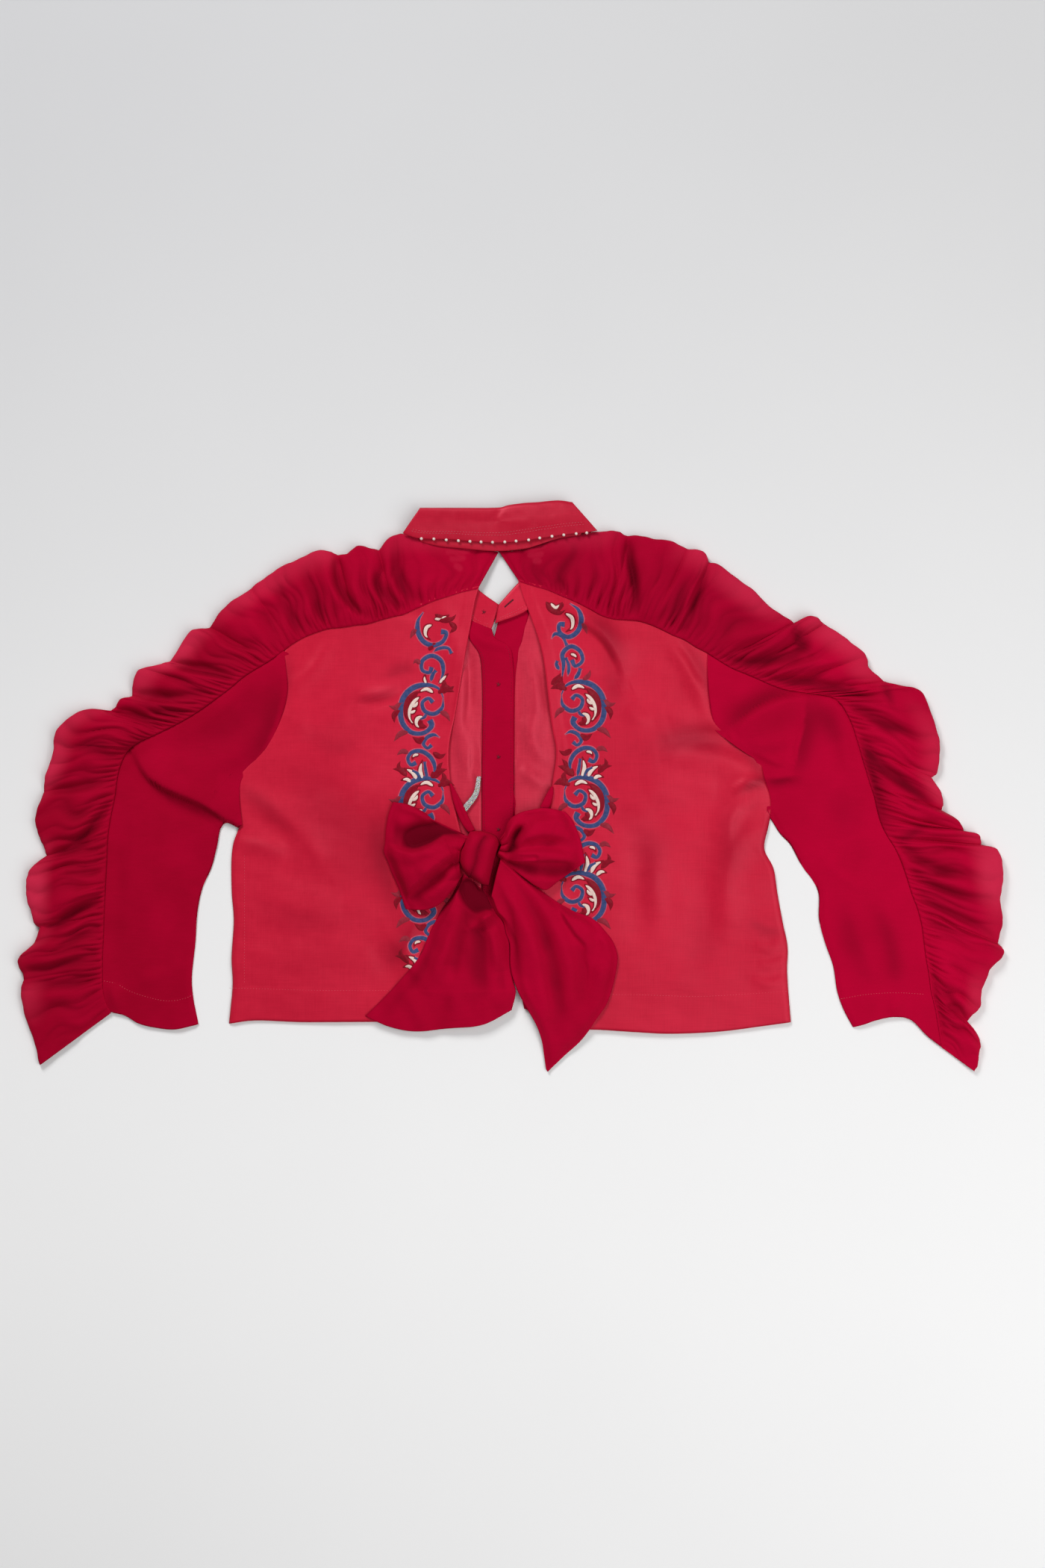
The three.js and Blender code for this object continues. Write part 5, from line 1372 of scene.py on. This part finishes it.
def padded(strokes, grow, lift, floor, curled):
    """Half-round ribbons along the strokes, curled scrolls or pointed leaves, on a floor."""
    plans, rises, faces, lay = [], [], [], []
    arc = np.linspace(-1, 1, STROKE_COLUMNS)
    arch = np.sqrt(1 - np.minimum(np.abs(arc), 0.985) ** 2)
    first = 0
    for width, points in strokes:
        line = flow(points, 7 * len(points))  # seven rows for each given point
        way = np.gradient(line, axis=0)
        off = np.column_stack([-way[:, 1], way[:, 0]]) / np.linalg.norm(way, axis=1)[:, None]
        run = np.concatenate([[0], np.cumsum(np.linalg.norm(np.diff(line, axis=0), axis=1))])
        share = run / run[-1]
        if curled:
            body = 0.3 + 0.7 * smooth(0, 0.3, share) * (1 - 0.3 * smooth(0.5, 0.85, share))
            shape = body + 0.25 * smooth(0.88, 1, share)
        else:
            shape = 0.04 + 0.96 * np.sin(np.pi * share**0.7) ** 1.15
        half = width / 2 * shape + grow * (0.5 + 0.5 * shape)
        plans.append(line[:, None] + off[:, None] * half[:, None, None] * arc[None, :, None])
        rises.append(lift * arch[None] * np.minimum(1, half[:, None] / 1.5))
        lay.extend(np.repeat(run * THREADS_PER_MM, STROKE_COLUMNS))
        for row in range(len(line) - 1):
            for column in range(STROKE_COLUMNS - 1):
                a = first + row * STROKE_COLUMNS + column
                faces.append((a, a + 1, a + 1 + STROKE_COLUMNS, a + STROKE_COLUMNS))
        first += len(line) * STROKE_COLUMNS
    plan = np.concatenate(plans)
    corners = raised(plan, floor(plan) + 0.12 + np.concatenate(rises)).reshape(-1, 3)
    return corners, faces, lay


def embroider(name, strokes, grow, lift, floor, finish, curled=False):
    corners, faces, lay = padded(strokes, grow, lift, floor, curled)
    return sew(shaped(name, corners, faces, finish, {"lay": lay}), "satin")


for side, turn in SIDES.items():
    drawn = list(HEADS[side])
    for middle in RING_MIDDLES[side]:
        for thread, width, points in REPEAT:
            drawn.append((thread, width, [(middle[0] - turn * x, middle[1] + y) for x, y in points]))
    floor = BACK_TOP[side]
    for thread in ("blue", "cream", "wine", "mauve"):
        strokes = [(width, points) for kind, width, points in drawn if kind == thread]
        curled = thread == "blue"
        embroider(f"stitched_{thread}_{side}", strokes, 0, PADDING, floor, thread_finish[thread], curled)
        if thread == "blue":
            embroider(f"stitched_outline_{side}", strokes, OUTLINE, 0.5, floor, thread_finish["pink"], True)
        if thread == "cream":
            embroider(f"stitched_shade_{side}", strokes, SHADE, 0.45, floor, thread_finish["wine"])

# Ties and bow: two narrow georgette straps leave the opening edges and join in a wide soft bow, which
# lies on the back with both tails reaching past the hem.
STRAPS = {
    "left": ([(-60, 3), (-56, -16), (-48, -36), (-42, -44)], [(-58, 3), (-49, -13), (-41, -30),
                                                              (-35, -42)]),
    "right": ([(38, 0), (33, -8), (27, -20)], [(40, 0), (40, -8), (36, -21)]),
}
STRAP_PLY = 14  # points across each of its two layers
STRAP_REST = 1.9
for side, (outer, inner) in STRAPS.items():
    outer, inner = flow(outer, 50), flow(inner, 50)
    turn = np.concatenate([np.linspace(0.04, 1, STRAP_PLY), np.linspace(1, 0, STRAP_PLY)[1:]])
    plan = mix(outer[None], inner[None], turn[:, None, None])
    up = np.concatenate([np.ones(STRAP_PLY), -np.ones(STRAP_PLY - 1)])[:, None]
    dome = 0.2 + 1.1 * np.sin(np.pi * np.clip(turn, 0, 1))[:, None] ** 0.6
    height = over_back(plan) + STRAP_REST + up * dome * np.where(up > 0, 1, 0.6)
    height = height + folds(plan, [(outer + 3, -0.5, 1.2, 1.2)])
    strap = cloth(f"tie_strap_{side}", "georgette", raised(plan, height), GEORGETTE, 0.3)

TAILS = {
    "left": {
        "top": [(-46, -84), (-36, -92), (-26, -102), (-22, -112)],
        "bottom": [(-141, -221), (-130, -226), (-118, -231), (-95, -235.5), (-60, -232.5), (-28, -229),
                   (0, -215)],
        "left": [(-46, -84), (-50, -90), (-58, -106), (-68, -120), (-80, -143), (-87, -160),
                 (-95, -172), (-108, -187),
                 (-120, -200), (-141, -221)],
        "right": [(-22, -112), (-15, -121), (-8, -131), (-4, -142), (-2, -152), (-1, -170), (1, -186),
                  (4, -197),
                  (0, -215)],
        "rise": 6.5,
        "hollows": [([(-42, -98), (-36, -107), (-28, -112), (-22, -106)], 13.0, 14),
                    ([(-26, -100), (-22, -106), (-21, -113)], 5.0, 7)],
        "folds": [
            ([(-42, -137), (-31, -130), (-18, -118)], 3.6, 5, 4),
            ([(-30, -141), (-22, -135), (-13, -129)], -2.4, 5, 5),
            ([(-38, -96), (-34, -126), (-30, -160), (-28, -200)], -3.0, 7, 12),
            ([(-30, -112), (-24, -130), (-16, -150), (-12, -180)], 3.2, 8, 6),
            ([(-46, -104), (-56, -132), (-68, -168), (-84, -204)], 3.4, 9, 8),
            ([(-44, -96), (-48, -126), (-54, -160), (-62, -204)], -2.6, 6, 8),
            ([(-54, -118), (-72, -150), (-92, -184), (-116, -214)], -2.0, 7, 6),
            ([(-60, -170), (-58, -200), (-56, -228)], 2.6, 10, 10),
            ([(-14, -130), (-10, -160), (-10, -200)], -1.8, 4, 5),
            ([(-100, -196), (-92, -212), (-86, -232)], 1.8, 8, 8),
        ],
    },
    "right": {
        "top": [(-20, -108), (-16, -90), (-13, -78), (-10, -68)],
        "bottom": [(33, -272), (34.5, -274.6), (37, -272.5)],
        "left": [(-20, -108), (-15, -121), (-8, -130), (-5, -142), (-2, -150), (-1, -175), (5, -195),
                 (14, -212),
                 (24, -230), (29, -245), (31, -258), (33, -272)],
        "right": [(-10, -68), (10, -86), (30, -101), (44, -111), (60, -120), (78, -127), (90, -139),
                  (98, -150), (102, -163),
                  (101, -175), (98, -190), (92, -208), (82, -223), (68, -243), (50, -260), (37, -272.5)],
        "rise": 5.5,
        "hollows": [],
        "folds": [
            ([(-12, -70), (12, -84), (35, -100), (46, -112), (58, -136), (72, -150), (73, -166)], 4.4,
             18, 2.4),
            ([(-2, -72), (24, -84), (50, -98), (66, -116), (80, -134), (84, -166)], -3.2, 5, 5),
            ([(30, -84), (58, -104), (80, -126), (96, -150)], 2.4, 5, 4),
            ([(-14, -84), (2, -110), (16, -140), (26, -180), (32, -230)], 3.2, 8, 10),
            ([(-16, -94), (-4, -118), (4, -150), (8, -190)], -2.2, 4, 6),
            ([(-6, -84), (14, -108), (30, -140), (44, -190), (46, -236)], -2.8, 7, 8),
            ([(8, -92), (34, -120), (54, -160), (62, -216)], 2.6, 9, 8),
            ([(60, -150), (66, -180), (64, -214)], -2.2, 7, 8),
            ([(84, -150), (86, -176), (78, -206)], 2.2, 8, 7),
        ],
    },
}


def sunk(plan, rows):
    """Depth of the deep hollows between the folds: line, depth and reach."""
    depths = [depth * near_lines(plan, [line], 0.5, reach) for line, depth, reach in rows]
    return sum(depths, np.zeros(plan.shape[:-1]))


def past_hem(plan):
    """How far a tail has dropped from the hem to the board."""
    return smooth(-222, -262, plan[..., 1])


TAIL_COLUMNS = 64
TAIL_ROWS = 132
TAIL_DEPTH = 1.4  # times the heights in the table of folds
for side, cut in TAILS.items():
    top, bottom = flow(cut["top"], TAIL_COLUMNS), flow(cut["bottom"], TAIL_COLUMNS)
    plan = between(top, bottom, flow(cut["left"], TAIL_ROWS), flow(cut["right"], TAIL_ROWS))
    away = np.minimum(off_line(plan, flow(cut["left"], 60))[0], off_line(plan, flow(cut["right"], 60))[0])
    down = np.linspace(0, 1, TAIL_ROWS)[:, None]
    rounding = smooth(0, mix(3, 9, smooth(0.08, 0.3, down)), away)
    body = cut["rise"] * rounding * (1 - 0.65 * smooth(0.2, 0.9, down))
    seat = mix(over_back(plan), 0, past_hem(plan)) + 1.0 + 1.6 * (side == "right")
    relief = TAIL_DEPTH * folds(plan, cut["folds"]) * smooth(0, 6, away) + crumple(plan, 24, 0.6, 4)
    relief = relief - sunk(plan, cut["hollows"])
    height = seat + body + relief
    height = np.maximum(height, mix(over_back(plan) + 0.5, 0.4, past_hem(plan)))
    # Painted shade in the valleys and deep hollows between the tail's folds.
    marks = {"painted_shade": np.clip(-relief / 6, 0, 1) ** 1.2}
    tail = cloth(f"bow_tail_{side}", "georgette", raised(plan, height), GEORGETTE, 0.35, marks)

LOOPS = {
    "left": {
        "top": [(-41, -48), (-55, -43), (-65, -38), (-75, -32), (-85, -24), (-100, -17), (-112, -15)],
        "bottom": [(-49, -85), (-52, -93), (-60, -103), (-66, -110), (-75, -116), (-85, -118.5),
                   (-100, -118)],
        "left": [(-41, -48), (-46, -55), (-49, -63), (-50, -72), (-49, -85)],
        "right": [(-112, -15), (-116, -25), (-119, -40), (-120, -55), (-121, -63), (-117, -73),
                  (-113, -84), (-108, -95),
                  (-102, -112), (-100, -118)],
        "rise": 13.5,
        "folds": [
            ([(-47, -48), (-60, -46.5), (-66, -48), (-76, -57), (-90, -63), (-105, -63), (-121, -56)],
             6.0, 22, 2.6),
            ([(-54, -43), (-66, -43), (-77, -50), (-90, -56), (-108, -56)], -5.0, 2.4, 15),
            ([(-48, -46), (-66, -41), (-84, -42), (-100, -44), (-118, -42)], -5.0, 9, 8),
            ([(-50, -60), (-60, -68), (-70, -76), (-80, -83), (-90, -91), (-100, -101), (-104, -109)],
             6.0, 3.0, 16),
            ([(-50, -66), (-62, -78), (-76, -90), (-90, -102), (-98, -114)], -3.4, 8, 6),
            ([(-50, -56), (-72, -66), (-96, -76), (-116, -74)], -1.8, 6, 6),
            ([(-52, -76), (-66, -94), (-80, -108)], 2.6, 7, 5),
            ([(-60, -40), (-76, -34), (-92, -24), (-110, -20)], 2.2, 4, 5),
        ],
        "hollows": [
            ([(-58, -43), (-68, -43), (-78, -49), (-92, -52)], 5.0, 15),
            ([(-54, -67), (-66, -76), (-80, -87)], 2.0, 7),
        ],
    },
    "right": {
        "top": [(-11, -50), (-7, -44), (-4, -35), (0, -30), (8, -25), (20, -22), (30, -20.5), (42, -22),
                (50, -24)],
        "bottom": [(-14, -66), (-2, -77), (12, -87.5), (24, -96), (33, -99), (44, -91.5), (56, -83),
                   (69, -74)],
        "left": [(-11, -50), (-10, -56), (-12, -61), (-14, -66)],
        "right": [(50, -24), (55, -30), (60, -40), (65, -55), (67, -64), (69, -74)],
        "rise": 12.0,
        "folds": [
            ([(-4, -64), (1, -58), (3, -50), (8, -42), (16, -36)], -5.0, 4, 4),
            ([(-10, -56), (-4, -48), (0, -38), (6, -30)], 3.0, 4, 4),
            ([(4, -60), (10, -48), (22, -38), (40, -34), (56, -38)], 4.6, 7, 12),
            ([(-6, -62), (16, -56), (38, -54), (62, -60)], -2.4, 7, 7),
            ([(-6, -68), (18, -64), (40, -64), (64, -70)], 2.6, 4, 5),
            ([(10, -28), (26, -27), (46, -28)], -2.0, 3, 4),
            ([(0, -56), (20, -47), (44, -46), (62, -50)], 2.4, 6, 5),
            ([(-8, -69), (8, -71.5), (20, -70.5), (40, -70), (66, -73)], 5.0, 9, 1.8),
        ],
        "hollows": [
            ([(0, -75), (14, -79), (34, -82), (52, -80)], 4.0, 10),
            ([(0, -62), (1, -54), (8, -44)], 3.0, 8),
            ([(-2, -68), (10, -68), (22, -68)], 3.0, 5),
        ],
    },
}
LOOP_SKIN = {"top": 66, "turn": 5, "under": 5}
LOOP_ROWS = 84
LOOP_DEPTH = 1.35  # times the heights in the table of folds
PLEAT_DEPTH = 3.4  # of the gathers beside the knot
TURN_RADIUS = 2.6
for side, cut in LOOPS.items():
    top, bottom = flow(cut["top"], LOOP_SKIN["top"]), flow(cut["bottom"], LOOP_SKIN["top"])
    plan = between(top, bottom, flow(cut["left"], LOOP_ROWS), flow(cut["right"], LOOP_ROWS))
    share = np.linspace(0, 1, LOOP_SKIN["top"])[None]
    down = np.linspace(0, 1, LOOP_ROWS)[:, None]
    open_side = 0.45 + 0.55 * np.sin(np.pi * down) ** 0.7
    swell = 0.6 + 0.4 * np.sin(np.pi * share**0.8)
    body = cut["rise"] * open_side * swell * smooth(1.04, 0.86, share) ** 0.6
    seat = over_back(plan) + 2.6
    fade = smooth(1.0, 0.9, share) * smooth(0, 0.03, down) * smooth(1, 0.97, down)
    relief = LOOP_DEPTH * folds(plan, cut["folds"]) * fade + crumple(plan, 20, 0.7, 6) * fade
    pleats = bulge(down * 3.4 + 0.9 * wander(share * 40, down * 0, 34, 5) + 0.4 * share, PLEAT_DEPTH)
    relief = relief + pleats * np.exp(-(share / 0.3) ** 2) - sunk(plan, cut["hollows"])
    height = np.maximum(seat + body + relief, over_back(plan) + TURN_RADIUS * 2 - 0.2)
    rim, last = height[:, -1:], plan[:, -1:]
    inward = last - plan[:, -6:-5]
    inward = inward / np.linalg.norm(inward, axis=-1, keepdims=True)
    spin = np.linspace(0, math.pi, LOOP_SKIN["turn"] + 1)[1:][None]
    floor = over_back(last) + 0.5
    bend = last + inward * (np.sin(spin) * TURN_RADIUS * 0.8)[..., None]
    bend_height = mix(rim, floor, (1 - np.cos(spin)) / 2)
    back = np.linspace(0, 0.94, LOOP_SKIN["under"] + 1)[1:][None, :, None]
    below = mix(last, plan[:, :1], back)
    plan = np.concatenate([plan, bend, below], axis=1)
    height = np.concatenate([height, bend_height, over_back(below) + 0.5], axis=1)
    hidden = np.zeros((LOOP_ROWS, LOOP_SKIN["turn"] + LOOP_SKIN["under"]))
    # Painted shade in the valleys and hollows of the loop's folds and pleats; none on the turned-under
    # part.
    marks = {"painted_shade": np.concatenate([np.clip(-relief / 7, 0, 1) ** 1.2, hidden], axis=1)}
    loop = cloth(f"bow_loop_{side}", "georgette", raised(plan, height), GEORGETTE, 0.35, marks)

KNOT = {
    "top": [(-40, -43), (-30, -42.8), (-22, -44.5), (-15, -48), (-11, -55)],
    "bottom": [(-47, -79), (-42, -86), (-35, -90), (-28, -94), (-22, -95)],
    "left": [(-40, -43), (-45, -52), (-49, -60), (-50, -71), (-47, -79)],
    "right": [(-11, -55), (-14, -62), (-16, -68), (-18, -77), (-20, -86), (-22, -95)],
}
KNOT_COLUMNS = 64
KNOT_ROWS = 84
KNOT_REST = 1.6
KNOT_RISE = 19.5
top, bottom = (flow(KNOT[edge], KNOT_COLUMNS) for edge in ("top", "bottom"))
left, right = (flow(KNOT[edge], KNOT_ROWS) for edge in ("left", "right"))
plan = between(top, bottom, left, right)
across, down = np.linspace(0, 1, KNOT_COLUMNS)[None], np.linspace(0, 1, KNOT_ROWS)[:, None]
dome = (1 - np.abs(2 * across - 1) ** 2.4) ** 0.5 * (1 - np.abs(2 * down - 1) ** 5) ** 0.5
ply = bulge(across * 1.5 + 0.35 * down + 0.3 * wander(down * 30, across * 0, 34, 4) + 0.1, 4.0)
ply = ply * smooth(0, 0.2, across) * smooth(1, 0.8, across) * smooth(0, 0.1, down)
height = over_back(plan) + KNOT_REST + KNOT_RISE * dome + ply
# Painted shade in the valleys between the knot's folds.
marks = {"painted_shade": np.clip(-ply / 5, 0, 1) ** 1.2}
knot = cloth("bow_knot", "georgette", raised(plan, height), GEORGETTE, 0.4, marks)
